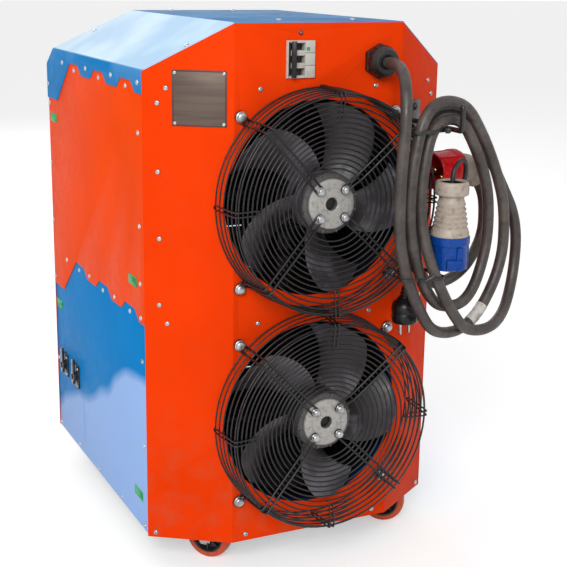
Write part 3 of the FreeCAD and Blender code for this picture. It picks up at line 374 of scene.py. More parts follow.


# %% [markdown]
# The orange and the blue are powder coats: a saturated colour with only a weak gloss over it, orange peel
# about two millimetres across, a slow change of tone over each sheet, and grey dust that gathers towards the
# floor. Bent and cut edges get a slightly paler coat, a painted highlight where they catch the light. The
# sheets' inner faces get painted shade, near black, so a mask finds them: they lie behind the front's own
# plane and nearer to the middle than the side sheets' outer faces.


# %% Paints
# Painted shade: the near black given to the cabinet's inner faces and the fan throats.
INNER_PAINTED_SHADE = linear(22, 18, 17)


def powder_coat(name, colour, dust, outer_face=None):
    coat = Finish(name, colour, 0.36, Specular_IOR_Level=0.012)
    shade = [c * 0.88 for c in colour[:3]] + [1]
    coat.cloud(5, 4, 0.42, 0.72, shade)
    grime = coat.times(coat.window(coat.noise(34, 8), 0.44, 0.72), coat.height(0.05, 0.3, 0.34, 0.03))
    coat.tint(grime, dust)
    # The inner faces that this mask finds get painted shade.
    if outer_face:
        inside = coat.times(
            coat.window(coat.from_middle(), (outer_face - 0.7) * MM, (outer_face - 1.1) * MM),
            coat.times(
                coat.window(coat.behind_front(), 0.8 * MM, 1.2 * MM),
                coat.window(coat.along("Y"), (DEPTH - 1.8) * MM + SHIFT.y, (DEPTH - 2.6) * MM + SHIFT.y),
            ),
        )
        coat.tint(inside, INNER_PAINTED_SHADE)
    coat.wear(60, 5, 0.3, 0.44)
    coat.bump(coat.noise(420, 1), 0.04)
    return coat


ORANGE = linear(240, 62, 8)
BLUE = linear(8, 130, 202)
orange_paint = powder_coat("orange_paint", ORANGE, linear(170, 100, 70), 248.5).material
# A lighter copy of the orange for the upper side sheets: painted light.
lit_orange_side = powder_coat("orange_side_painted_light", linear(255, 77, 6), linear(186, 116, 84), 248.5).material
# Paler coats for the bevelled edges: a painted highlight.
orange_edge_highlight = powder_coat("orange_edge_highlight", linear(250, 96, 52), linear(190, 130, 110)).material
blue_edge_highlight = powder_coat("blue_edge_highlight", linear(60, 156, 216), linear(150, 170, 190)).material
# Painted shade for the fan throats: the lower one a darker blue that turns near black further in, the upper
# one near black all through.
shaded_throat_blue = powder_coat("shaded_throat_blue", linear(8, 52, 96), linear(60, 70, 80))
shaded_throat_blue.tint(shaded_throat_blue.window(shaded_throat_blue.behind_front(), 0, 26 * MM), INNER_PAINTED_SHADE)
shaded_throat_black = powder_coat("shaded_throat_black", linear(26, 26, 34), INNER_PAINTED_SHADE).material
print("paints", orange_paint.name, orange_edge_highlight.name, blue_edge_highlight.name)

# %% [markdown]
# Two blue sheets mirror what is round them, and these reflections are painted in. The left lower side sheet
# shows the pale ground up to a soft, wavy line that climbs towards the front, and the roof's left slope is
# nearly white with sky, while its flat top is a duller mid blue with a little sky. Both painted reflections
# follow the sheets' own places.

# %% Blue paints with the ground and the sky in them
RIDGE_END = 450
SIDE_EAVE_DROP = 70
REAR_EAVE_DROP = 100
EAVE_Z = BOTTOM + HEIGHT - SIDE_EAVE_DROP
GROUND_START = 0.56
GROUND_CLIMB = 0.42
GROUND_EDGE = (-0.131, -0.109)
side_blue = powder_coat("blue_paint", BLUE, linear(110, 150, 190), 247)
forward = side_blue.reckon("SUBTRACT", GROUND_START + SHIFT.y, side_blue.along("Y"))
line = side_blue.times(forward, GROUND_CLIMB)
waves = side_blue.window(side_blue.noise(4.5, 2), 0.3, 0.7, -0.02, 0.02)
under = side_blue.reckon("SUBTRACT", side_blue.reckon("ADD", line, waves), side_blue.along("Z"))
to_left = side_blue.window(side_blue.along("X"), SHIFT.x, SHIFT.x - 0.01)
ground = side_blue.times(to_left, side_blue.window(under, *GROUND_EDGE))
# Painted reflection of the pale ground on the left lower side sheet.
side_blue.tint(ground, linear(156, 190, 242))
blue_paint = side_blue.material

roof = powder_coat("roof_paint", BLUE, linear(110, 150, 190))
above_eaves = roof.height((EAVE_Z + 0.2) * MM, (EAVE_Z + 1.6) * MM)
past_fold = roof.reckon("SUBTRACT", SHIFT.x - FOLD * MM, roof.along("X"))
side_fall = roof.times(past_fold, SIDE_EAVE_DROP / (HALF_WIDTH - FOLD))
past_ridge = roof.reckon("SUBTRACT", roof.along("Y"), SHIFT.y + RIDGE_END * MM)
rear_fall = roof.times(past_ridge, REAR_EAVE_DROP / (DEPTH - RIDGE_END))
lower_by = roof.reckon("SUBTRACT", side_fall, roof.reckon("MAXIMUM", rear_fall, 0))
left_slope = roof.window(lower_by, 0, 0.0004)
# Painted sky reflection: a duller blue on the roof's top and near white on its left slope.
roof.tint(above_eaves, linear(74, 126, 176))
roof.tint(roof.times(above_eaves, left_slope), linear(206, 232, 250))
below_eaves = roof.height((EAVE_Z - 39) * MM, (EAVE_Z + 0.2) * MM)
roof.tint(roof.times(below_eaves, roof.window(roof.noise(7, 2), 0.4, 0.62, 0, 0.4)), linear(120, 176, 224))
roof_paint = roof.material
print("blue paints", blue_paint.name, roof_paint.name)

# %% [markdown]
# Bare metal needs no colour of its own so much as a broken reflection. Zinc plating is nearly smooth with
# faint clouds, galvanised sheet has large spangles, and the motor's casting is grey, matt and sandy.

# %% Metals
zinc = Finish("zinc_plate", linear(176, 178, 180), 0.3, 1.0)
zinc.wear(300, 4, 0.2, 0.42)
zinc.cloud(90, 5, 0.5, 0.75, linear(130, 128, 124))

galvanised = Finish("galvanised_sheet", linear(150, 154, 158), 0.42, 1.0)
galvanised.cloud(70, 1, 0.4, 0.6, linear(112, 116, 121))
galvanised.rough(galvanised.window(galvanised.noise(70, 1), 0.35, 0.65, 0.32, 0.55))

casting = Finish("motor_casting", linear(168, 165, 161), 0.45, 0.35)
casting.cloud(160, 6, 0.5, 0.76, linear(124, 121, 118))
# Painted shade: the casting set back behind its front face, in the hollow centre and on the shoulder, is
# darker.
casting.tint(casting.window(casting.behind_front(), -46.2 * MM, -41 * MM), linear(92, 90, 89))
casting.wear(240, 4, 0.36, 0.6)
casting.bump(casting.noise(900, 3), 0.12)

wire_coat = Finish("black_wire_coat", linear(15, 14, 15), 0.3, Specular_IOR_Level=0.45)
wire_coat.cloud(40, 5, 0.6, 0.85, linear(52, 47, 44))
wire_coat.wear(120, 4, 0.24, 0.45)

blade_coat = Finish("rotor_coat", linear(50, 46, 50), 0.3)
blade_coat.cloud(14, 4, 0.5, 0.72, linear(20, 17, 19))
# The pale streaks are a painted sheen on the blades.
blade_coat.cloud(12, 5, 0.52, 0.66, linear(120, 116, 124), most=0.8, stretch=(1, 2, 1))
blade_coat.wear(80, 5, 0.28, 0.5)
blade_coat.bump(blade_coat.noise(700, 2), 0.05)

bronze = Finish("nameplate_bronze", linear(98, 83, 73), 0.46, 0.4)
bronze.cloud(120, 5, 0.4, 0.7, linear(76, 63, 56), stretch=(0.06, 0.06, 1))
bronze.wear(200, 4, 0.36, 0.56, (0.08, 0.08, 1))
bronze.bump(bronze.noise(700, 2, (0.05, 0.05, 1)), 0.02)
print("metals", [f.material.name for f in (zinc, galvanised, casting, wire_coat, blade_coat, bronze)])

# %% [markdown]
# Moulded plastic has a soft sheen and a fine spark-eroded grain. The cable's rubber is the most worn surface
# of the whole machine: brownish grey, matt, rubbed pale along its length and specked with light scuffs.


# %% Plastics and rubber
def moulded(name, colour, roughness=0.4, grime=None, grain=0.04, **sockets):
    plastic = Finish(name, colour, roughness, **sockets)
    dirt = grime or [c * 0.7 for c in colour[:3]] + [1]
    plastic.cloud(110, 6, 0.5, 0.8, dirt)
    plastic.wear(160, 4, roughness - 0.08, roughness + 0.1)
    plastic.bump(plastic.noise(1400, 2), grain)
    return plastic.material


case_white = moulded("breaker_white", linear(190, 186, 178), 0.35)
track_black = moulded("breaker_black", linear(48, 42, 42), 0.38)
toggle_black = moulded("toggle_black", linear(12, 11, 12), 0.34, Specular_IOR_Level=0.3)
status_green = moulded("status_green", linear(70, 138, 92), 0.4)
lamp_red = moulded("lamp_red", linear(120, 4, 4), 0.12, grain=0.0, Coat_Weight=1.0)
gland_black = moulded("gland_black", linear(22, 18, 19), 0.4, linear(46, 40, 38))
plug_black = moulded("plug_black", linear(6, 5, 5), 0.34, linear(26, 23, 23), Specular_IOR_Level=0.35)
collar_red = moulded("collar_red", linear(206, 16, 24), 0.3, linear(160, 14, 20), Specular_IOR_Level=0.3)
collar_blue = moulded("collar_blue", linear(6, 66, 150), 0.3, linear(6, 44, 100), Specular_IOR_Level=0.25)
shell_pale = moulded("plug_shell_pale", linear(174, 161, 148), 0.45, linear(120, 103, 90))
hub_black = moulded("hub_black", linear(28, 26, 27), 0.4, linear(80, 66, 58))
tyre_orange = moulded("tyre_orange", linear(208, 74, 36), 0.42, linear(120, 48, 30))

rubber = Finish("cable_rubber", linear(58, 51, 48), 0.5)
rubber.cloud(22, 5, 0.42, 0.66, linear(82, 74, 69))
rubber.cloud(120, 8, 0.5, 0.74, linear(36, 31, 30), most=0.75)
rubber.cloud(420, 6, 0.69, 0.76, linear(180, 172, 164), most=0.7)
rubber.wear(90, 4, 0.34, 0.56)
rubber.bump(rubber.noise(240, 6), 0.3)
rubber.bump(rubber.noise(1200, 3), 0.08)
thin_rubber = moulded("thin_lead_black", linear(30, 29, 30), 0.45)
brass = Finish("pin_brass", linear(196, 160, 92), 0.3, 1.0)
brass.cloud(300, 4, 0.5, 0.75, linear(140, 110, 60))
print("plastics and rubber ready")

# %% [markdown]
# ## The supply cable
#
# A thick rubber cable leaves its gland, drops straight down and goes three and a half times round a loose
# coil, tied on its left, before it ends in a red plug. It is one piece, so it is one smooth curve. The lead's
# own points pull the curve along. In the coil each line gives a place and a heading, and two points on that
# heading, one each side of the place, keep the curve tangent to it, as the handles of a drawn path do.

# %% The cable's route
CORD = 17.5
COIL_START = Vector((100, -94, BOTTOM))
COIL_TURN = math.radians(15)
COIL_ALONG = Vector((math.cos(COIL_TURN), math.sin(COIL_TURN), 0))
COIL_ACROSS = Vector((-math.sin(COIL_TURN), math.cos(COIL_TURN), 0))
UP = Vector((0, 0, 1))
HANDLE = 0.28

LEAD_ROUTE = [
    (97, -22, 742), (97, -56, 742), (90, -87, 730), (81, -110, 708), (76, -121, 680), (73.6, -123.4, 648),
    (71.8, -122.4, 612), (71.1, -121.4, 576),
]
COIL_ROUTE = [
    (-35, -19, 540, 270), (-4, -19, 415, 297), (86, -19, 333, 0),
    (205, -17, 470, 90), (155, -20, 608, 122), (54, -20, 690, 180),
    (-14, -19, 548, 270), (17, -18, 430, 297), (92, -16, 374, 0),
    (170, -13, 490, 90), (126, -19, 612, 122), (63, -19, 664, 180),
    (9, -19, 556, 270), (44, -37, 408, 302), (140, -38, 332, 0),
    (248, -8, 440, 90), (178, 0, 600, 124), (78, 0, 672, 180),
    (15, 1, 550, 270), (84, 6, 408, 0), (210, 30, 500, 90), (193, 36, 554, 135),
]
ADAPTER_ROUTE = [
    (66, -27, 563), (66, -27, 584), (75.4, -26, 597), (90.6, -22, 602), (105.8, -16, 597),
    (114, -11, 584), (115, -8, 567), (112, -4, 549), (107, 3, 532), (100, 13, 515), (91, 23, 497),
    (80, 32, 479), (69, 37, 461), (58, 40, 445), (50, 41, 432), (47, 40, 419), (47, 40, 401),
]


def in_coil(along, across, height):
    return COIL_START + COIL_ALONG * along + COIL_ACROSS * across + UP * height


def coil_heading(degrees):
    angle = math.radians(degrees)
    return COIL_ALONG * math.cos(angle) + UP * math.sin(angle)


def cable_points():
    points = [Vector((x, y, z + BOTTOM)) for x, y, z in LEAD_ROUTE]
    places = [(in_coil(*row[:3]), coil_heading(row[3])) for row in COIL_ROUTE]
    for (place, heading), (after, after_heading) in zip(places, places[1:]):
        reach = (after - place).length * HANDLE
        points.append(place + heading * reach)
        points.append(after - after_heading * reach)
    return points + [places[-1][0]]


# %% Draw the cords
def round_curve(name, kind, points, radius, sides, caps=True):
    """A curve with a round section through or along the points, and its one spline."""
    data = bpy.data.curves.new(name, "CURVE")
    data.dimensions = "3D"
    data.bevel_depth = radius
    data.bevel_resolution = sides
    data.use_fill_caps = caps
    spline = data.splines.new(kind)
    spline.points.add(len(points) - 1)
    for knot, point in zip(spline.points, points):
        knot.co = (*point, 1)
    piece = bpy.data.objects.new(name, data)
    bpy.context.scene.collection.objects.link(piece)
    return piece, spline


def cord_curve(name, points, diameter, finish):
    piece, spline = round_curve(name, "NURBS", [at(*point) for point in points], diameter / 2 * MM, 5)
    spline.order_u = 3
    spline.use_endpoint_u = True
    piece.data.resolution_u = 10
    piece.data.materials.append(finish)
    return piece


cable_route = cable_points()
supply_cable = cord_curve("supply_cable", cable_route, CORD, rubber.material)
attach(supply_cable, "cabinet")
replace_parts(supply_cable, "power_lead", "power_coil")
adapter_cord = cord_curve("adapter_cord", [in_coil(*row) for row in ADAPTER_ROUTE], 7, thin_rubber)
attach(adapter_cord, "cabinet")
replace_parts(adapter_cord, "adapter_lead")
print("cable points", len(cable_route))

# %% [markdown]
# ## Sheet metal with soft edges
#
# The panels are folded from thin sheet and already have their true outlines, castellated seams among them.
# What a imported solid lacks is the small round of a bent or cut edge, which catches a line of light. Each
# panel is copied, its loose triangles are merged into whole faces, and a bevel a third of a millimetre wide
# rounds every edge. The bevel's own faces get the paler edge coat, a painted highlight.


# %% Ease a imported piece's edges
def eased_copy(node, name, finishes, body="cabinet", width=0.35, smooth=30):
    piece = bpy.data.objects.new(name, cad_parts[node].data.copy())
    bpy.context.scene.collection.objects.link(piece)
    piece.data.materials.clear()
    for finish in finishes:
        piece.data.materials.append(finish)
    only(piece)
    bpy.ops.mesh.customdata_custom_splitnormals_clear()
    bpy.ops.object.mode_set(mode="EDIT")
    bpy.ops.mesh.select_all(action="SELECT")
    bpy.ops.mesh.remove_doubles(threshold=0.00001)
    bpy.ops.mesh.dissolve_limited(angle_limit=math.radians(0.5))
    bpy.ops.object.mode_set(mode="OBJECT")
    if width:
        bevel = piece.modifiers.new("ease", "BEVEL")
        bevel.width = width * MM
        bevel.segments = 2
        bevel.limit_method = "ANGLE"
        bevel.angle_limit = math.radians(28)
        bevel.material = len(finishes) - 1
        bpy.ops.object.modifier_apply(modifier=bevel.name)
    bpy.ops.object.shade_smooth_by_angle(angle=math.radians(smooth))
    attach(piece, body)
    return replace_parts(piece, node)


orange_coats = [orange_paint, orange_edge_highlight]
lit_side_coats = [lit_orange_side, orange_edge_highlight]
blue_coats = [blue_paint, blue_edge_highlight]
roof_coats = [roof_paint, blue_edge_highlight]
PANELS = {
    "front_panel": ("front_sheet", orange_coats, "orange_paint"),
    "roof_cover": ("roof_sheet", roof_coats, "blue_paint"),
    "left_upper_panel": ("left_upper_sheet", lit_side_coats, "orange_paint"),
    "right_upper_panel": ("right_upper_sheet", lit_side_coats, "orange_paint"),
    "rear_panel": ("rear_sheet", orange_coats, "orange_paint"),
    "left_lower_panel": ("left_lower_sheet", blue_coats, "blue_paint"),
    "right_lower_panel": ("right_lower_sheet", blue_coats, "blue_paint"),
    "rear_louvres": ("rear_louvre_grilles", blue_coats, "blue_paint"),
}
for node, (name, coats, slot) in PANELS.items():
    piece = eased_copy(node, name, coats)
    print(name, len(piece.data.polygons), "faces")

# %% [markdown]
# ## Rivets and screws
#
# Every sheet is held by small domed heads with a hollow middle, about eight millimetres across. The packed
# model has a plain hexagon at each place. One domed head is turned on the lathe, and a copy is stood at the
# foot of every hexagon, square to the sheet that carries it.

# %% Find the heads and put domes on them
RIVET = [
    (0, 0.9), (0.9, 0.9), (1.2, 1.8), (1.9, 2.0), (2.9, 1.7), (3.7, 1.0), (4.1, 0.2), (4.1, -0.1), (0, -0.1),
]
HEAD_WIDTH = 8.1
ROOF_TOP_HEADS = [(-40, 60), (86, 64), (-73, 426), (42, 424)]


def head_places(node):
    """Foot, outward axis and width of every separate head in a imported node, in cabinet millimetres."""
    whole = bpy.data.objects.new("heads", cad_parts[node].data.copy())
    bpy.context.scene.collection.objects.link(whole)
    only(whole)
    bpy.ops.object.mode_set(mode="EDIT")
    bpy.ops.mesh.select_all(action="SELECT")
    bpy.ops.mesh.remove_doubles(threshold=0.00001)
    bpy.ops.mesh.separate(type="LOOSE")
    bpy.ops.object.mode_set(mode="OBJECT")
    found = []
    middle = Vector((0, 300, BOTTOM + 400))
    for head in list(bpy.context.selected_objects):
        points = np.array([(v.co - SHIFT) / MM for v in head.data.vertices])
        centre = points.mean(0)
        axis = np.linalg.svd(points - centre)[2][2]
        if (Vector(centre) - middle).dot(Vector(axis)) < 0:
            axis = -axis
        along = (points - centre) @ axis
        across = np.linalg.norm((points - centre) - np.outer(along, axis), axis=1).max() * 2
        found.append((Vector(centre) + Vector(axis) * along.min(), Vector(axis), across))
        bpy.data.objects.remove(head)
    return found


def domes(name, places, steps=16):
    pattern = lathe("rivet", RIVET, steps)
    made = []
    for foot, axis, width in places:
        head = copy_of(pattern)
        head.scale = (width / HEAD_WIDTH,) * 3
        only(head)
        bpy.ops.object.transform_apply(location=False, rotation=False, scale=True)
        made.append(stand(head, foot, axis))
    bpy.data.objects.remove(pattern)
    return dress(to_metres(joined(made)), name, zinc.material)


front_heads = domes("front_rivets", head_places("front_screws"))
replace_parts(front_heads, "front_screws")
roof_top = [(Vector((x, y, BOTTOM + HEIGHT)), UP, HEAD_WIDTH) for x, y in ROOF_TOP_HEADS]
sheet_heads = domes("sheet_rivets", head_places("panel_screws") + roof_top)
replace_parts(sheet_heads, "panel_screws")
print("rivets", len(front_heads.data.polygons), len(sheet_heads.data.polygons))

# %% [markdown]
# ## Fan guards
#
# A guard is bent from black-coated round wire: fifteen rings in front that dish slightly inwards, six down
# its side, and double wires that tie them together. A ring is a torus. A strut is one closed loop of wire
# that goes round the motor's bolt, out over the rings, over the shoulder and round the bolt in the panel, so
# it is drawn as one closed curve with a round section, and then made a mesh.

# %% Guard sizes
RING_WIRE = 2.6
STRUT_WIRE = 3.4
FIRST_RING = 54
RING_SPREAD = 106.5
GUARD_RADIUS = 163
GUARD_DEPTH = 72
SIDE_SPREAD = 65.5
FRONT_RINGS = 15
SIDE_RINGS = 6


def dish(radius):
    """How far in front of the panel the rings lie at this radius."""
    return 52 + (radius - 38) / 125 * 20


def ring(radius, depth, height):
    bpy.ops.object.select_all(action="DESELECT")
    bpy.ops.mesh.primitive_torus_add(
        location=(0, -depth, height),
        rotation=(math.pi / 2, 0, 0),
        major_radius=radius,
        minor_radius=RING_WIRE / 2,
        major_segments=88,
        minor_segments=8,
    )
    bpy.ops.object.transform_apply(location=True, rotation=True, scale=True)
    return bpy.context.object


def made_mesh(piece):
    only(piece)
    bpy.ops.object.convert(target="MESH")
    return bpy.context.object


def bent_wire(name, points, diameter, closed=False, resolution=4):
    """A round wire with rounded bends at its points, as a mesh."""
    piece, spline = round_curve(name, "NURBS", points, diameter / 2, 2, caps=not closed)
    spline.order_u = 3
    spline.use_cyclic_u = closed
    spline.use_endpoint_u = not closed
    piece.data.resolution_u = resolution
    return made_mesh(piece)


# %% Wires of a guard
STRUT_LINE = [
    (23.5, 4, 49), (29, 6, 49), (36, 5, 49), (44, 5, 50.5), (56, 5, 57.5), (104, 5, 65.2), (155, 5, 73.2),
    (164.5, 5, 75), (166.3, 5, 68), (168, 5, 36), (169.4, 5, 8), (170, 5, 2.3), (175, 6, 2.3),
    (182, 7.5, 2.3), (188, 4.5, 2.3),
]
STAY_LINE = [
    (126, 2, 68.5), (129, 3.2, 69), (146, 3.2, 71.7), (164.5, 3.2, 75), (166.3, 3.2, 66), (168.5, 3.2, 36),
    (169.6, 3.2, 4),
]


def on_fan(height, angle, radius, offset, depth):
    """A point of a fan given by its radius, its offset across that radius and its depth before the panel."""
    outward = Vector((math.cos(math.radians(angle)), 0, math.sin(math.radians(angle))))
    across = Vector((-outward.z, 0, outward.x))
    return outward * radius + across * offset + Vector((0, -depth, height))


def loop_of(line):
    return line + [(radius, -offset, depth) for radius, offset, depth in reversed(line)]


def guard_wires(height):
    wires = []
    for i in range(FRONT_RINGS):
        radius = FIRST_RING + i * RING_SPREAD / (FRONT_RINGS - 1)
        wires.append(ring(radius, dish(radius), height))
    for i in range(SIDE_RINGS):
        share = i / (SIDE_RINGS - 1)
        wires.append(ring(GUARD_RADIUS + 4 * share, GUARD_DEPTH - 3 - share * SIDE_SPREAD, height))
    for i in range(4):
        strut = [on_fan(height, 45 + 90 * i, *row) for row in loop_of(STRUT_LINE)]
        wires.append(bent_wire("strut", strut, STRUT_WIRE, closed=True))
        stay = [on_fan(height, 90 * i, *row) for row in loop_of(STAY_LINE)]
        wires.append(bent_wire("stay", stay, RING_WIRE, closed=True))
    return joined(wires)


for fan, height in FAN_HEIGHTS.items():
    piece = to_metres(guard_wires(height))
    replaced = [fan + "_fan_guard"]
    dress(piece, fan + "_guard_wires", wire_coat.material, replaced=replaced, smooth=60)
    print(piece.name, len(piece.data.polygons), "faces")

# %% [markdown]
# ## Motors and their bolts
#
# The motor is a grey casting whose flat face looks out through the guard: a hollow centre, a machined rim and
# a stepped shoulder behind it. It is a turned part, so it is a turned mesh. Four bolts hold the guard's
# struts on it, and four domed caps hold the guard on the panel.

# %% Turn the motors
MOTOR = [
    (0, 38), (9, 38), (9.8, 38.8), (9.8, 46), (10.8, 47), (23.5, 47), (24, 46.4), (25, 46.4), (25.5, 47),
    (34, 47), (36.6, 46.2), (37.8, 44.6), (38, 41.6), (38.8, 40.6), (43, 39.2), (45, 38), (46, 36),
    (46, 26), (44.5, 24), (20, 24), (20, 14), (37, 14), (37, -8), (20, -8), (20, -12), (0, -12),
]
WASHER_AND_HEAD = [
    (0, 0), (6.6, 0), (6.6, 0.9), (6.2, 1.3), (5.6, 1.3), (5.6, 1.9), (5.3, 4.4), (4.2, 5.5), (2.2, 5.8),
    (0, 5.8),
]
CAP = [
    (0, 0), (8.6, 0), (8.8, 0.6), (8.4, 1.3), (7.6, 1.7), (7.4, 3.2), (6.5, 4.9), (4.8, 5.9), (2.6, 6.3),
    (0, 6.4),
]
for fan, height in FAN_HEIGHTS.items():
    motor = stand(lathe("motor", MOTOR, 64), (0, 0, height), TO_FRONT)
    bosses = []
    for angle in (0, 180):
        boss = lathe("boss", [(0, 46.5), (4.5, 46.5), (4.2, 47.6), (2.6, 47.8), (2.2, 47.2), (0, 47.2)], 20)
        bosses.append(stand(boss, on_fan(height, angle, 28, 0, 0), TO_FRONT))
    fins = []
    for angle in range(0, 360, 30):
        fin = block("fin", (38.5, -1.2, 39), (45, 1.2, 41.5), 0.3)
        fins.append(stand(turned(fin, angle + 15), (0, 0, height), TO_FRONT))
    whole = to_metres(joined([motor] + bosses + fins))
    replaced = [fan + "_fan_motor"]
    dress(whole, fan + "_motor_casting", casting.material, replaced=replaced, smooth=32)

EYE = [(0, 38.1), (9.4, 38.1), (9.4, 38.7), (0, 38.7)]
eyes = [stand(lathe("eye", EYE, 32), (0, 0, height), TO_FRONT) for height in FAN_HEIGHTS.values()]
dress(to_metres(joined(eyes)), "motor_eyes", plug_black)

bolt_places = []
cap_places = []
for height in FAN_HEIGHTS.values():
    for i in range(4):
        bolt_places.append((on_fan(height, 45 + 90 * i, 29, 0, 51), TO_FRONT))
        cap_places.append((on_fan(height, 45 + 90 * i, 180, 0, 4), TO_FRONT))
bolts = to_metres(copies(lathe("bolt", WASHER_AND_HEAD, 24), bolt_places))
dress(bolts, "motor_bolt_heads", zinc.material, replaced=["motor_bolts"])
caps = to_metres(copies(lathe("cap", CAP, 28), cap_places))
dress(caps, "guard_caps", zinc.material, replaced=["guard_bolts"], smooth=50)
print("bolts and caps", len(bolt_places), len(cap_places))

# %% [markdown]
# ## Rotors
#
# Five wide sickle blades sit on a drum that turns round the motor. A blade starts as a flat grid. Its points
# are wrapped round the axis, twisted more steeply near the drum than at the tip, swept forwards and cambered,
# and the sheet then gets its thickness and a rounded edge.

# %% Shape a blade and copy it round
BLADE_ROOT = 45
BLADE_TIP = 145
BLADES = 5
BLADE_WALL = 2.4


def blade_point(along, across):
    """along runs from root to tip and across from the trailing to the leading edge, each from 0 to 1."""
    radius = BLADE_ROOT + (BLADE_TIP - BLADE_ROOT) * along
    sweep = math.radians(-4 + 26 * along ** 1.4)
    chord = 52 + 56 * along - 14 * along ** 3
    pitch = math.radians(38 - 14 * along)
    place = (across - 0.5) * chord
    rounding = 5 * max(0, along - 0.93) / 0.07 * (2 * across - 1) ** 2
    angle = sweep + place * math.cos(pitch) / radius
    depth = place * math.sin(pitch) - 0.07 * chord * (1 - (2 * across - 1) ** 2)
    reach = radius - rounding
    return Vector((reach * math.cos(angle), depth, reach * math.sin(angle)))


def blade():
    bpy.ops.object.select_all(action="DESELECT")
    bpy.ops.mesh.primitive_grid_add(x_subdivisions=14, y_subdivisions=10, size=1)
    piece = bpy.context.object
    for vertex in piece.data.vertices:
        vertex.co = blade_point(vertex.co.x + 0.5, vertex.co.y + 0.5)
    wall = piece.modifiers.new("wall", "SOLIDIFY")
    wall.thickness = BLADE_WALL
    wall.offset = 0
    bpy.ops.object.modifier_apply(modifier=wall.name)
    ease(piece, 0.7, 2, 60)
    smooth = piece.modifiers.new("smooth", "SUBSURF")
    smooth.levels = 1
    smooth.render_levels = 1
    bpy.ops.object.modifier_apply(modifier=smooth.name)
    return piece


DRUM = [
    (0, -15), (6, -15), (6, -14), (41, -14), (41, 22), (42, 22.6), (45.6, 22.6), (46.5, 21.6), (46.5, -17),
    (45.4, -20.4), (43, -22), (0, -22),
]
for fan, height in FAN_HEIGHTS.items():
    parts = [stand(lathe("drum", DRUM, 64), (0, 0, 0), TO_FRONT)]
    pattern = blade()
    for i in range(BLADES):
        petal = copy_of(pattern)
        petal.rotation_euler.y = math.radians(20 + 360 / BLADES * i)
        parts.append(settle(petal))
    bpy.data.objects.remove(pattern)
    whole = stand(joined(parts), (0, 0, height))
    dress(to_metres(whole), fan + "_rotor_blades", blade_coat.material, fan + "_fan",
          [fan + "_fan_rotor"], smooth=40)
    print(whole.name, len(whole.data.polygons), "faces")

# %% [markdown]
# ## Inside the cabinet
#
# Little of the inside is seen, but light gets in through both fans. The lower fan ring is a darker blue that
# turns near black further in and the upper ring is near black: both are painted shade. The heater banks are
# bare steel browned by heat and painted darker as shade, and the tray with its contactors, the posts, the
# rails and the floor are galvanised sheet gone dull and dark.

# %% Dress the inner pieces
# The heater steel is browned by heat and painted darker as shade inside the cabinet.
shaded_heater_steel = Finish("heater_steel", linear(52, 47, 46), 0.5, 0.6)
shaded_heater_steel.cloud(30, 5, 0.4, 0.7, linear(44, 34, 31))
shaded_heater_steel.wear(140, 4, 0.4, 0.65)
INNER = {
    "lower_fan_ring": ("lower_fan_throat", [shaded_throat_blue.material], "blue_paint"),
    "upper_fan_ring": ("upper_fan_throat", [shaded_throat_black], "blue_paint"),
    "lower_heater_bank": ("lower_heater_rods", [shaded_heater_steel.material], "bright_steel"),
    "upper_heater_bank": ("upper_heater_rods", [shaded_heater_steel.material], "bright_steel"),
    "base_plate": ("floor_sheet", [galvanised.material], "galvanised_sheet"),
    "bottom_rails": ("floor_rails", [galvanised.material], "galvanised_sheet"),
    "corner_posts": ("corner_angles", [galvanised.material], "galvanised_sheet"),
    "control_tray": ("switch_tray", [galvanised.material], "galvanised_sheet"),
    "contactors": ("contactor_blocks", [plug_black], "black_plastic"),
}
for node, (name, coats, slot) in INNER.items():
    piece = eased_copy(node, name, coats)
    print(name, len(piece.data.polygons), "faces")

# %% [markdown]
# ## Breaker, toggles and lamp
#
# The circuit breaker lies on its side in a window of the front. From left to right it has a pale rim, a dark
# channel that the tie bar moves in, three wells with a white bar between each two, and a plain pale fascia
# with a small green status window. The three toggles and their tie bar turn together.

# %% Breaker
BREAKER_Z = BOTTOM + 720
POLE = 18
LEVER = (-38, 6)
LEVER_REST = -32


def pole(number, share=0.5):
    return BREAKER_Z + (number + share) * POLE


case = [block("case", (-56, 11, BREAKER_Z), (-11, 56, BREAKER_Z + 54), 0.4)]
case.append(block("rim", (-56, -4, BREAKER_Z), (-53.4, 11.2, BREAKER_Z + 54), 0.5))
case.append(block("sole", (-53.6, -1.6, BREAKER_Z), (-48.9, 11.2, BREAKER_Z + 3), 0.3))
case.append(block("crown", (-53.6, -1.6, BREAKER_Z + 51), (-48.9, 11.2, BREAKER_Z + 54), 0.3))
for i in range(3):
    case.append(block("fascia", (-27, -4, pole(i, 0.012)), (-11, 11.2, pole(i, 0.988)), 0.6))
for low, high in ((0, 3.8), (14.2, 21.8), (32.2, 39.8), (50.2, 54)):
    case.append(block("bar", (-49, -4, BREAKER_Z + low), (-26.9, 11.2, BREAKER_Z + high), 0.6))
dress(to_metres(joined(case)), "breaker_case", case_white, replaced=["breaker_body"])

dark = [block("channel", (-53.4, -1.2, BREAKER_Z + 3), (-49, 10.9, BREAKER_Z + 51))]
for i in range(3):
    dark.append(block("well", (-49, 9.8, pole(i) - 5.2), (-27, 10.9, pole(i) + 5.2)))
dress(to_metres(joined(dark)), "breaker_wells", track_black)
status = block("status", (-25.4, -4.35, pole(2, 0.18)), (-19.6, -3.6, pole(2, 0.46)), 0.25)
dress(to_metres(status), "breaker_status_window", status_green)

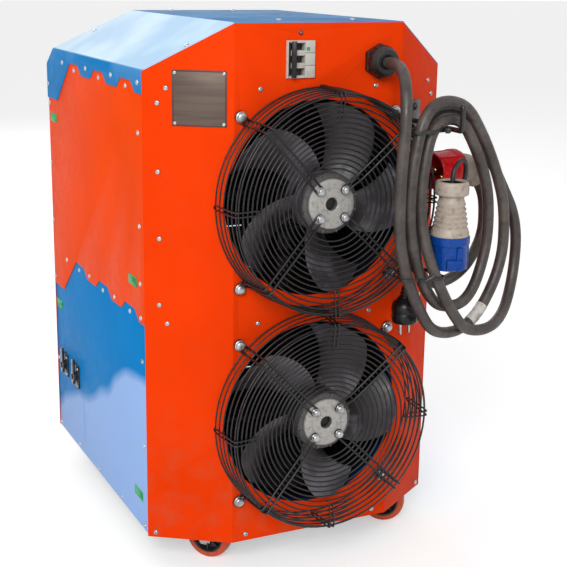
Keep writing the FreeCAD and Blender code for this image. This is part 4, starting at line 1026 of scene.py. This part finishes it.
TOGGLE = [
    (-3.4, 2), (-3.4, -2), (-2.9, -9), (-2.3, -17.4), (-1.4, -19), (1.4, -19), (2.3, -17.4), (2.9, -9),
    (3.4, -2), (3.4, 2),
]
toggles = []
for i in range(3):
    arm = cut_sheet("arm", TOGGLE, 8, 0.5)
    toggles.append(stand(arm, (0, 0, pole(i) - 4)))
    hub = lathe("hub", [(0, -4.6), (3.2, -4.6), (3.6, -4.2), (3.6, 4.2), (3.2, 4.6), (0, 4.6)], 24)
    toggles.append(stand(hub, (0, 0, pole(i))))
toggles.append(block("tie_bar", (-3.8, -19.4, pole(0) - 7.8), (3.8, -14.6, pole(2) + 7.8), 1.1))
whole = stand(turned(joined(toggles), LEVER_REST), (*LEVER, 0))
dress(to_metres(whole), "breaker_toggles", toggle_black, "breaker_toggle", ["breaker_levers"])

LENS = [
    (0, 3.2), (1.0, 3.1), (2.0, 2.6), (2.8, 1.7), (3.0, 0.8), (3.8, 0.7), (4.1, 0.3), (4.1, -0.2),
    (2.8, -0.2), (2.8, -6), (0, -6),
]
lens = stand(lathe("lens", LENS, 32), (-33, 0, BOTTOM + 784.5), TO_FRONT)
dress(to_metres(lens), "lamp_lens", lamp_red, replaced=["indicator_lamp"], smooth=50)
print("breaker and lamp done")

# %% [markdown]
# ## Nameplate, gland and hook
#
# The nameplate is a dull bronze square with a darker rim and stays bare. The cable leaves through a black
# gland: a hexagon against the panel and a fluted cap whose mouth narrows to the cable. The hook for the coil
# is a plate with a round rod that turns up at its end.

# %% Nameplate
PLATE_MIDDLE = -50
PLATE_Z = BOTTOM + 692


def on_wing(piece, side):
    """Carry a piece drawn against the plane y = 0 onto the left (-1) or right (1) wing of the front."""
    piece.rotation_euler.z = side * WING_TURN
    piece.location = (side * FOLD, 0, 0)
    return settle(piece)


bronze_dark = moulded("nameplate_rim", linear(58, 44, 38), 0.45, linear(40, 32, 28), grain=0.02)
x0, x1, z0, z1 = PLATE_MIDDLE - 40, PLATE_MIDDLE + 40, PLATE_Z - 40, PLATE_Z + 40
field = block("field", (x0 + 2, -1.0, z0 + 2), (x1 - 2, -0.1, z1 - 2), 0.2)
field = to_metres(on_wing(field, -1))
dress(field, "nameplate_field", bronze.material, replaced=["nameplate"])
rims = [
    block("rim", (x0, -1.25, z0), (x0 + 2.4, 0, z1), 0.3),
    block("rim", (x1 - 2.4, -1.25, z0), (x1, 0, z1), 0.3),
    block("rim", (x0 + 2.4, -1.25, z0), (x1 - 2.4, 0, z0 + 2.4), 0.3),
    block("rim", (x0 + 2.4, -1.25, z1 - 2.4), (x1 - 2.4, 0, z1), 0.3),
]
dress(to_metres(on_wing(joined(rims), -1)), "nameplate_rims", bronze_dark)

# %% Gland
GLAND = (97, BOTTOM + 742)
hexagon = lathe("hexagon", [(0, 0), (25.6, 0), (26.5, 0.8), (26.5, 7.6), (25.2, 9), (0, 9)], 6)
turned(hexagon, 30)
NUT = [(16, -1.5), (24, -1.5), (24, -7.5), (12, -7.5), (12, -14), (10, -14), (10, -1.5), (16, -1.5)]
nut = lathe("nut", NUT, 6)
CAP_BODY = [
    (16, 9), (23, 9), (23.4, 9.6), (23.4, 20), (22.6, 21.4), (19.6, 28), (18.6, 29.4), (17, 30), (11, 30),
    (9.6, 29.2), (9.4, 22), (9.4, 10), (16, 9),
]
cap_body = lathe("cap_body", CAP_BODY, 48)
flutes = []
for i in range(18):
    flute = block("flute", (22.9, -1.7, 10), (24.2, 1.7, 19.6), 0.5)
    flutes.append(turned(flute, 20 * i))
gland = stand(joined([hexagon, nut, cap_body] + flutes), (GLAND[0], 0, GLAND[1]), TO_FRONT)
dress(to_metres(gland), "cord_gland", gland_black, replaced=["cable_gland"], smooth=32)

# %% Hook
HOOK = (178, BOTTOM + 647)
hook_coat = moulded("hook_black", linear(30, 28, 29), 0.34, linear(72, 64, 60))
along_wing = (HOOK[0] - FOLD) / math.cos(WING_TURN)
foot = (HOOK[0] - FOLD) * math.tan(WING_TURN)
plate = block("plate", (along_wing - 20, -3, HOOK[1] - 32), (along_wing + 20, 0, HOOK[1] + 32), 0.8)
plate = on_wing(plate, 1)
heads = []
for side in (-1, 1):
    head = lathe("head", [(0, 3), (6, 3), (6, 4), (5.4, 5.8), (3.6, 7.2), (1.2, 7.6), (0, 7.6)], 20)
    head = stand(head, (along_wing, 0, HOOK[1] + side * 22), TO_FRONT)
    heads.append(on_wing(head, 1))
ROD_LINE = [(foot - 2, 0), (foot - 40, 0), (-99, 0), (-111, 0), (-111, 12), (-111, 24), (-111, 36)]
rod = bent_wire("rod", [(HOOK[0], y, HOOK[1] + z) for y, z in ROD_LINE], 8, resolution=6)
tip = lathe("tip", [(0, -2), (4.4, -2), (4.6, 0), (4.2, 3), (2.6, 4.6), (0, 5)], 24)
tip = stand(tip, (HOOK[0], -111, HOOK[1] + 34))
hook = to_metres(joined([plate, rod, tip] + heads))
dress(hook, "coil_hook", hook_coat, replaced=["cable_hook"], smooth=40)
print("nameplate, gland and hook done")

# %% [markdown]
# ## Plugs
#
# Three plugs hang with the coil. The cable ends in a red one: a pale elbow with grip ribs and a red shroud.
# The blue connector points its open cable ring upwards, its ribs widen downwards, and its blue shroud carries
# the knuckle of a lid. The black round plug hangs on the thin lead.

# %% Helpers for plugs
PIN_DEPTH = 44


def shroud(length, radius, key, base, axis):
    """An open plug shroud from its seat to its mating face, with the key rib outside."""
    inner = radius - 3.5
    profile = [
        (0, 0), (radius + 0.8, 0), (radius + 1.5, 0.8), (radius + 1.5, 11), (radius + 0.8, 12.6),
        (radius - 0.2, 14.2), (radius - 0.5, 15.5), (radius - 0.5, length - 1), (radius - 1.3, length),
        (inner + 0.8, length), (inner, length - 0.8), (inner, length - PIN_DEPTH), (0, length - PIN_DEPTH),
    ]
    body = lathe("shroud", profile, 56)
    ribs = []
    low_ribs = [(key + turn, 3, 0.6) for turn in (52, 104, 156, 204, 256, 308)]
    for angle, wide, high in [(key, 10, 2.2)] + low_ribs:
        rib = block("rib", (-wide / 2, radius - 2, 14), (wide / 2, radius + high, length - 0.6), 0.5)
        ribs.append(turned(rib, angle))
    return stand(joined([body] + ribs), base, axis)


def swept_tube(name, path, radii, sides=5):
    """A tube along close points with a radius at each, its ends closed."""
    piece, spline = round_curve(name, "POLY", path, 1, sides)
    for knot, radius in zip(spline.points, radii):
        knot.radius = radius
    return made_mesh(piece)


def contact_pins(count, spread, length, base, axis):
    pins = []
    for i in range(count):
        angle = 2 * math.pi * (i + 0.25) / count
        radius = 3.2 if i else 4.0
        profile = [(0, 0), (radius, 0), (radius, length - 1.4), (radius - 1.2, length), (0, length)]
        pin = lathe("pin", profile, 18)
        pin.location = (spread * math.cos(angle), spread * math.sin(angle), 0)
        pins.append(pin)
    return stand(joined(pins), base, axis)


# %% Red plug
RED_SEAT, RED_FACE, RED_ELBOW, RED_BEND = 139, 87, 169, 12
RED_ACROSS, RED_AXIS = 36, 578
END_ALONG, END_Z = 193, 554
CABLE_END = in_coil(END_ALONG, RED_ACROSS, END_Z)
seat = in_coil(RED_SEAT, RED_ACROSS, RED_AXIS)
red = shroud(RED_SEAT - RED_FACE, 28, 90, seat, -COIL_ALONG)
dress(to_metres(red), "red_shroud", collar_red, replaced=["red_plug_collar"])

first = in_coil(RED_ELBOW - RED_BEND, RED_ACROSS, RED_AXIS)
corner = in_coil(RED_ELBOW, RED_ACROSS, RED_AXIS)
second = corner + (CABLE_END - corner).normalized() * RED_BEND
path, radii = [], []
for i in range(14):
    share = i / 13
    path.append(seat.lerp(first, share))
    distance = share * (first - seat).length
    radii.append(26.5 if distance < 7 else 24.6 - 3.6 * (distance - 7) / 11 if distance > 8.5 else 25.4)
for i in range(1, 9):
    share = i / 8
    path.append(first.lerp(corner, share).lerp(corner.lerp(second, share), share))
    radii.append(20.8 - 1.2 * share)
tail = (CABLE_END - second).length
for i in range(1, 37):
    share = i / 36
    path.append(second.lerp(CABLE_END, share))
    left = tail * (1 - share)
    radii.append(15.4 if left < 1.2 else 16.4 + 1.3 * math.cos(2 * math.pi * left / 4.4) + 0.06 * left)
elbow = swept_tube("elbow", path, radii)
collar_ring = lathe("collar_ring", [(0, 0), (18.2, 0), (18.8, 0.8), (18.8, 5), (18, 6), (0, 6)], 40)
collar_ring = stand(collar_ring, CABLE_END + coil_heading(135) * (tail - 3), coil_heading(135))
dress(to_metres(joined([elbow, collar_ring])), "red_plug_elbow", shell_pale,
      replaced=["red_plug_body"], smooth=45)

# %% Blue connector
BLUE_PLACE = (66, -27)
BLUE_FACE, BLUE_SEAT, BLUE_TOP = 441, 491, 573
blue_seat = in_coil(*BLUE_PLACE, BLUE_SEAT)
blue = shroud(BLUE_SEAT - BLUE_FACE, 29, 90, blue_seat, (0, 0, -1))
knuckle = block("knuckle", (-13, -34.5, BLUE_FACE + 2), (13, -27.6, BLUE_FACE + 18), 2.2)
ridges = []
for z in (3.4, 8.2, 13):
    ridges.append(block("ridge", (-12, -35.6, BLUE_FACE + z), (12, -33, BLUE_FACE + z + 2.6), 0.9))
lid = stand(turned(joined([knuckle] + ridges), -16), in_coil(*BLUE_PLACE, 0))
whole = to_metres(joined([blue, lid]))
dress(whole, "blue_shroud", collar_blue, replaced=["blue_plug_collar"])

height = BLUE_TOP - BLUE_SEAT
shell = [(0, 0), (28.4, 0), (29, 0.7), (29, 5.4), (28.2, 6.6), (27.4, 9), (27, 11)]
for i in range(5):
    level, radius = 13.5 + 7.5 * i, 26.5 - 1.2 * i
    for inset, rise in ((1.7, 0), (1.4, 1), (0, 4.4), (0.1, 5.4), (1, 6.1)):
        shell.append((radius - inset, level + rise))
shell += [
    (20, 52.6), (19, 54), (18.8, 59.4), (19.6, 60.4), (23.6, 61.4), (25, 62.6), (25.6, 65), (25.6, 70),
    (25.2, height - 5), (24.4, height - 1), (23.2, height), (19.4, height), (18.2, height - 1),
    (17.6, height - 5), (17.5, height - 10), (0, height - 10),
]
dress(to_metres(stand(lathe("shell", shell, 56), blue_seat)), "blue_plug_shell", shell_pale,
      replaced=["blue_plug_body"], smooth=40)
HOLLOW = [(0, 9.8), (17.3, 9.8), (17.1, 2.4), (16.5, 2.4), (16.5, 9.2), (0, 9.2)]
hollow = lathe("hollow", [(radius, height - below) for radius, below in HOLLOW], 48)
dress(to_metres(stand(hollow, blue_seat)), "blue_plug_hollow", plug_black)

pins = [
    contact_pins(5, 14, PIN_DEPTH - 6, seat - COIL_ALONG * (RED_SEAT - RED_FACE - PIN_DEPTH), -COIL_ALONG),
    contact_pins(3, 12, PIN_DEPTH - 6, blue_seat - UP * (BLUE_SEAT - BLUE_FACE - PIN_DEPTH), (0, 0, -1)),
]
dress(to_metres(joined(pins)), "contact_pins", brass.material, replaced=["plug_pins"])

# %% Black plug
BLACK = [
    (0, 0), (5.2, 0), (6, 0.6), (6.2, 3.6), (7.8, 4.4), (7.9, 6.2), (6.6, 7.2), (6.7, 9), (8.5, 9.8),
    (8.6, 11.6), (7.4, 12.6), (7.6, 14.4), (9.6, 15.2), (10, 17), (12.2, 18.6), (13.2, 21), (16.6, 23.4),
    (19.4, 27), (20.8, 31), (21.2, 34), (21.2, 39.4), (20.6, 40.6), (19.4, 41), (19.4, 42.2), (19.9, 43),
    (19.9, 56.6), (18.8, 58), (0, 58),
]
black_top = in_coil(*ADAPTER_ROUTE[-1])
parts = [stand(lathe("body", BLACK, 48), black_top, (0, 0, -1))]
for i in range(14):
    grip = block("grip", (19, -1, 44.5), (20.7, 1, 55), 0.4)
    parts.append(stand(turned(grip, 360 * i / 14), black_top, (0, 0, -1)))
dress(to_metres(joined(parts)), "round_plug", plug_black, replaced=["black_plug"], smooth=40)
prongs = []
for offset in (-9.5, 9.5):
    prong = lathe("prong", [(0, 57.5), (2.4, 57.5), (2.4, 75.4), (1.8, 76.8), (0, 77.2)], 16)
    prongs.append(stand(prong, black_top + COIL_ALONG * offset, (0, 0, -1)))
dress(to_metres(joined(prongs)), "round_plug_prongs", zinc.material)
print("plugs done")

# %% [markdown]
# ## Ties, latches and seals
#
# Two nylon ties hold the strands together on the coil's left. Each has a small square lock, and the lower one
# keeps its uncut tail. A band of worn white tape marks one turn of the cable. Two quarter-turn latches hold
# the left lower panel, and four crinkled green foil seals, bare here, are stuck across the seams.

# %% Ties
tie_black = moulded("tie_black", linear(24, 22, 24), 0.36, linear(60, 56, 54))
eased_copy("coil_ties", "cable_ties", [tie_black], width=0.3)
LOCKS = [((149.6, -117, BOTTOM + 650), 42), ((108, -131.4, BOTTOM + 433), -6)]
locks = []
for place, turn in LOCKS:
    lock = block("lock", (-4.6, -3.2, -3.6), (4.6, 3.2, 3.6), 0.9)
    slot_rim = block("rim", (-3.2, -3.9, -2.4), (3.2, -3, 2.4), 0.4)
    locks.append(stand(joined([lock, slot_rim]), place, turn=turn))
tail = [(112, -132.6, 487), (116, -135, 489), (122, -138, 493), (126, -139.4, 498)]
tail_path = [Vector(a).lerp(Vector(b), s / 4) for a, b in zip(tail, tail[1:]) for s in range(4)]
tail_path.append(Vector(tail[-1]))
tail_piece = swept_tube("tail", tail_path, [1.5] * len(tail_path), 2)
dress(to_metres(joined(locks + [tail_piece])), "tie_locks", tie_black)

# %% Worn white tape round the outermost turn, low on the right
TAPE_KNOT = 12
before, knot, after = cable_route[TAPE_KNOT - 1:TAPE_KNOT + 2]
start, end = (before + knot) / 2, (knot + after) / 2
tape_path = []
for step in range(11):
    t = 0.45 + 0.04 * step
    tape_path.append(start * (1 - t) ** 2 + knot * 2 * t * (1 - t) + end * t * t)
tape = swept_tube("tape", tape_path, [CORD / 2 + 0.5 + 0.25 * math.sin(2.1 * step) for step in range(11)])
tape_white = moulded("tape_white", linear(200, 196, 190), 0.5, linear(120, 114, 108))
dress(to_metres(tape), "cable_tape", tape_white)

# %% Latches and seals
LATCHES = {"front": (472, BOTTOM + 141), "rear": (545, BOTTOM + 141)}
LATCH_PIN = [(0, 2), (9, 2), (9, 5), (3.5, 5), (3.5, 10.2), (5.6, 10.4), (5.6, 10.9), (4, 12.2), (0, 12.2)]
LATCH_RIVETS = ((-10.5, -16), (10.5, -16), (-10.5, 16), (10.5, 16))
WALL = -(HALF_WIDTH - 3)
latch_black = moulded("latch_black", linear(30, 31, 35), 0.26, linear(84, 80, 78), Coat_Weight=0.5)
bases, spots = [], []
for y, z in LATCHES.values():
    bases.append(block("base", (WALL - 3, y - 15, z - 21), (WALL, y + 15, z + 21), 1.0))
    bases.append(stand(lathe("pin", LATCH_PIN, 32), (WALL, y, z), (-1, 0, 0)))
    spots += [(Vector((WALL - 3, y + a, z + b)), (-1, 0, 0), 5.5) for a, b in LATCH_RIVETS]
latch_feet = to_metres(joined(bases))
blackened = Finish("latch_blackened_steel", linear(40, 40, 44), 0.3, 0.5)
blackened.cloud(220, 5, 0.55, 0.75, linear(96, 94, 94))
dress(latch_feet, "latch_feet", blackened.material, replaced=["latch_bases"])
domes("latch_rivets", spots, 12)
for name in LATCHES:
    lever, handle = name + "_latch_lever", name + "_latch_handle"
    eased_copy(lever, handle, [latch_black], name + "_latch", 0.5)
foil = Finish("seal_foil", linear(14, 176, 92), 0.24, Specular_IOR_Level=0.06)
foil.cloud(160, 4, 0.45, 0.62, linear(16, 128, 76), stretch=(1, 0.3, 1))
# The pale streaks are painted glints on the crinkled foil.
foil.cloud(90, 3, 0.62, 0.68, linear(110, 220, 170), stretch=(1, 0.5, 1))
foil.bump(foil.noise(150, 4), 0.8)
eased_copy("seal_labels", "foil_seals", [foil.material], width=0.15)
# A pale line on the seam of the lower side sheet: a painted highlight in the blue edge coat.
seam = block("seam", (WALL - 0.25, 432.6, BOTTOM + 28), (WALL + 0.2, 433.4, BOTTOM + 131), 0.1)
dress(to_metres(seam), "lower_panel_seam", blue_edge_highlight)
print("ties, latches and seals done")

# %% [markdown]
# ## Castors
#
# The cabinet rolls on four swivelling castors: an orange polyurethane tyre on a black ribbed hub, a zinc
# plated fork, and an axle bolt whose bright head shows in front. Each is turned by its own rest angle.

# %% Wheels, forks and plates
CASTORS = {
    "front_left": (-161, 94, -49), "front_right": (161, 94, -38),
    "rear_left": (-161, 512, -55), "rear_right": (161, 512, -44),
}
TRAIL, AXLE = 25, 37.5
TYRE = [
    (28, -11), (33.4, -11), (35, -10.5), (36.4, -9), (37.2, -6.6), (37.5, -3.6), (37.5, 3.6), (37.2, 6.6),
    (36.4, 9), (35, 10.5), (33.4, 11), (28, 11), (28, -11),
]
HUB_SIDE = [
    (5.05, 13.5), (9.4, 13.5), (10.2, 12.8), (11.6, 4), (13, 3), (21.6, 3), (23, 4.2), (24.6, 10),
    (25.6, 11), (28, 11),
]
HUB = [(r, -h) for r, h in HUB_SIDE] + HUB_SIDE[::-1] + [(5.05, -13.5)]


def turn_castor(piece, name):
    x, y, heading = CASTORS[name]
    piece.location = (x, y, 0)
    return to_metres(turned(piece, heading))


for name in CASTORS:
    tyre = stand(lathe("tyre", TYRE, 72), (TRAIL, 0, AXLE), (0, 1, 0))
    dress(turn_castor(tyre, name), name + "_tyre", tyre_orange, name + "_wheel",
          [name + "_castor_tyre"], smooth=50)
    parts = [lathe("hub", HUB, 56)]
    for i in range(8):
        for side in (-1, 1):
            near, far = sorted((side * 2.6, side * 9))
            rib = block("rib", (11, -1.1, near), (24, 1.1, far), 0.4)
            parts.append(turned(rib, 45 * i))
    hub = stand(joined(parts), (TRAIL, 0, AXLE), (0, 1, 0))
    dress(turn_castor(hub, name), name + "_hub", hub_black, name + "_wheel",
          [name + "_castor_hub"])
    eased_copy(name + "_castor_fork", name + "_fork", [zinc.material], name + "_castor", 0.4)
eased_copy("castor_plates", "castor_tops", [zinc.material], width=0.4)
print("castors done")

# %% [markdown]
# ## The cords
#
# The supply cable hangs coiled and ends in its red plug, and the thin adapter lead hangs from the blue
# connector to its black plug. Both lengths are those of the routes drawn above.

# %% [markdown]
# ## Floor, light and background
#
# The machine stands on a plain pale floor under soft light. The floor and the sky look white to the camera
# and in reflections, but their light on the machine stays at a plain level, and the floor keeps its shadow.


# %% Stage
def any_ray(nodes, links):
    """1 for a ray from the camera, off a shiny surface or through a clear one, and 0 for the rest."""
    seen = nodes.new("ShaderNodeLightPath")
    level = seen.outputs["Is Camera Ray"]
    for kind in ("Is Glossy Ray", "Is Transmission Ray"):
        either = nodes.new("ShaderNodeMath")
        either.operation = "MAXIMUM"
        links.new(level, either.inputs[0])
        links.new(seen.outputs[kind], either.inputs[1])
        level = either.outputs[0]
    return level


bpy.ops.mesh.primitive_plane_add(size=60)
floor = bpy.context.object
floor.name = "floor"
floor_finish = bpy.data.materials.new("pale_floor")
floor_finish.use_nodes = True
nodes, links = floor_finish.node_tree.nodes, floor_finish.node_tree.links
floor_shader = nodes["Principled BSDF"]
floor_shader.inputs["Base Color"].default_value = (0.8, 0.8, 0.8, 1)
floor_shader.inputs["Roughness"].default_value = 0.9
floor_shader.inputs["Emission Color"].default_value = (1, 1, 1, 1)
either = any_ray(nodes, links)
glow = nodes.new("ShaderNodeMath")
glow.operation = "MULTIPLY"
glow.inputs[1].default_value = 0.42
links.new(either, glow.inputs[0])
links.new(glow.outputs[0], floor_shader.inputs["Emission Strength"])
floor.data.materials.append(floor_finish)

world = bpy.data.worlds.new("studio")
bpy.context.scene.world = world
world.use_nodes = True
nodes, links = world.node_tree.nodes, world.node_tree.links
sky = nodes["Background"]
sky.inputs["Color"].default_value = (1, 1, 1, 1)
level = any_ray(nodes, links)
strength = nodes.new("ShaderNodeMapRange")
strength.inputs["To Min"].default_value = 0.5
strength.inputs["To Max"].default_value = 1.0
links.new(level, strength.inputs["Value"])
links.new(strength.outputs["Result"], sky.inputs["Strength"])


def softbox(name, place, aim, size, watts):
    bpy.ops.object.light_add(type="AREA", location=place)
    lamp = bpy.context.object
    lamp.name = name
    lamp.data.shape = "RECTANGLE"
    lamp.data.size, lamp.data.size_y = size
    lamp.data.energy = watts
    lamp.rotation_euler = (Vector(aim) - Vector(place)).to_track_quat("-Z", "Y").to_euler()
    return lamp


softbox("key_light", (-2.2, -3.4, 2.6), (0, -0.2, 0.45), (1.8, 1.8), 120)
softbox("sky_card", (-0.6, 4.2, 2.7), (0, 0, 0.6), (3.2, 1.6), 60)
bpy.context.scene.view_settings.view_transform = "Standard"
print("stage ready")
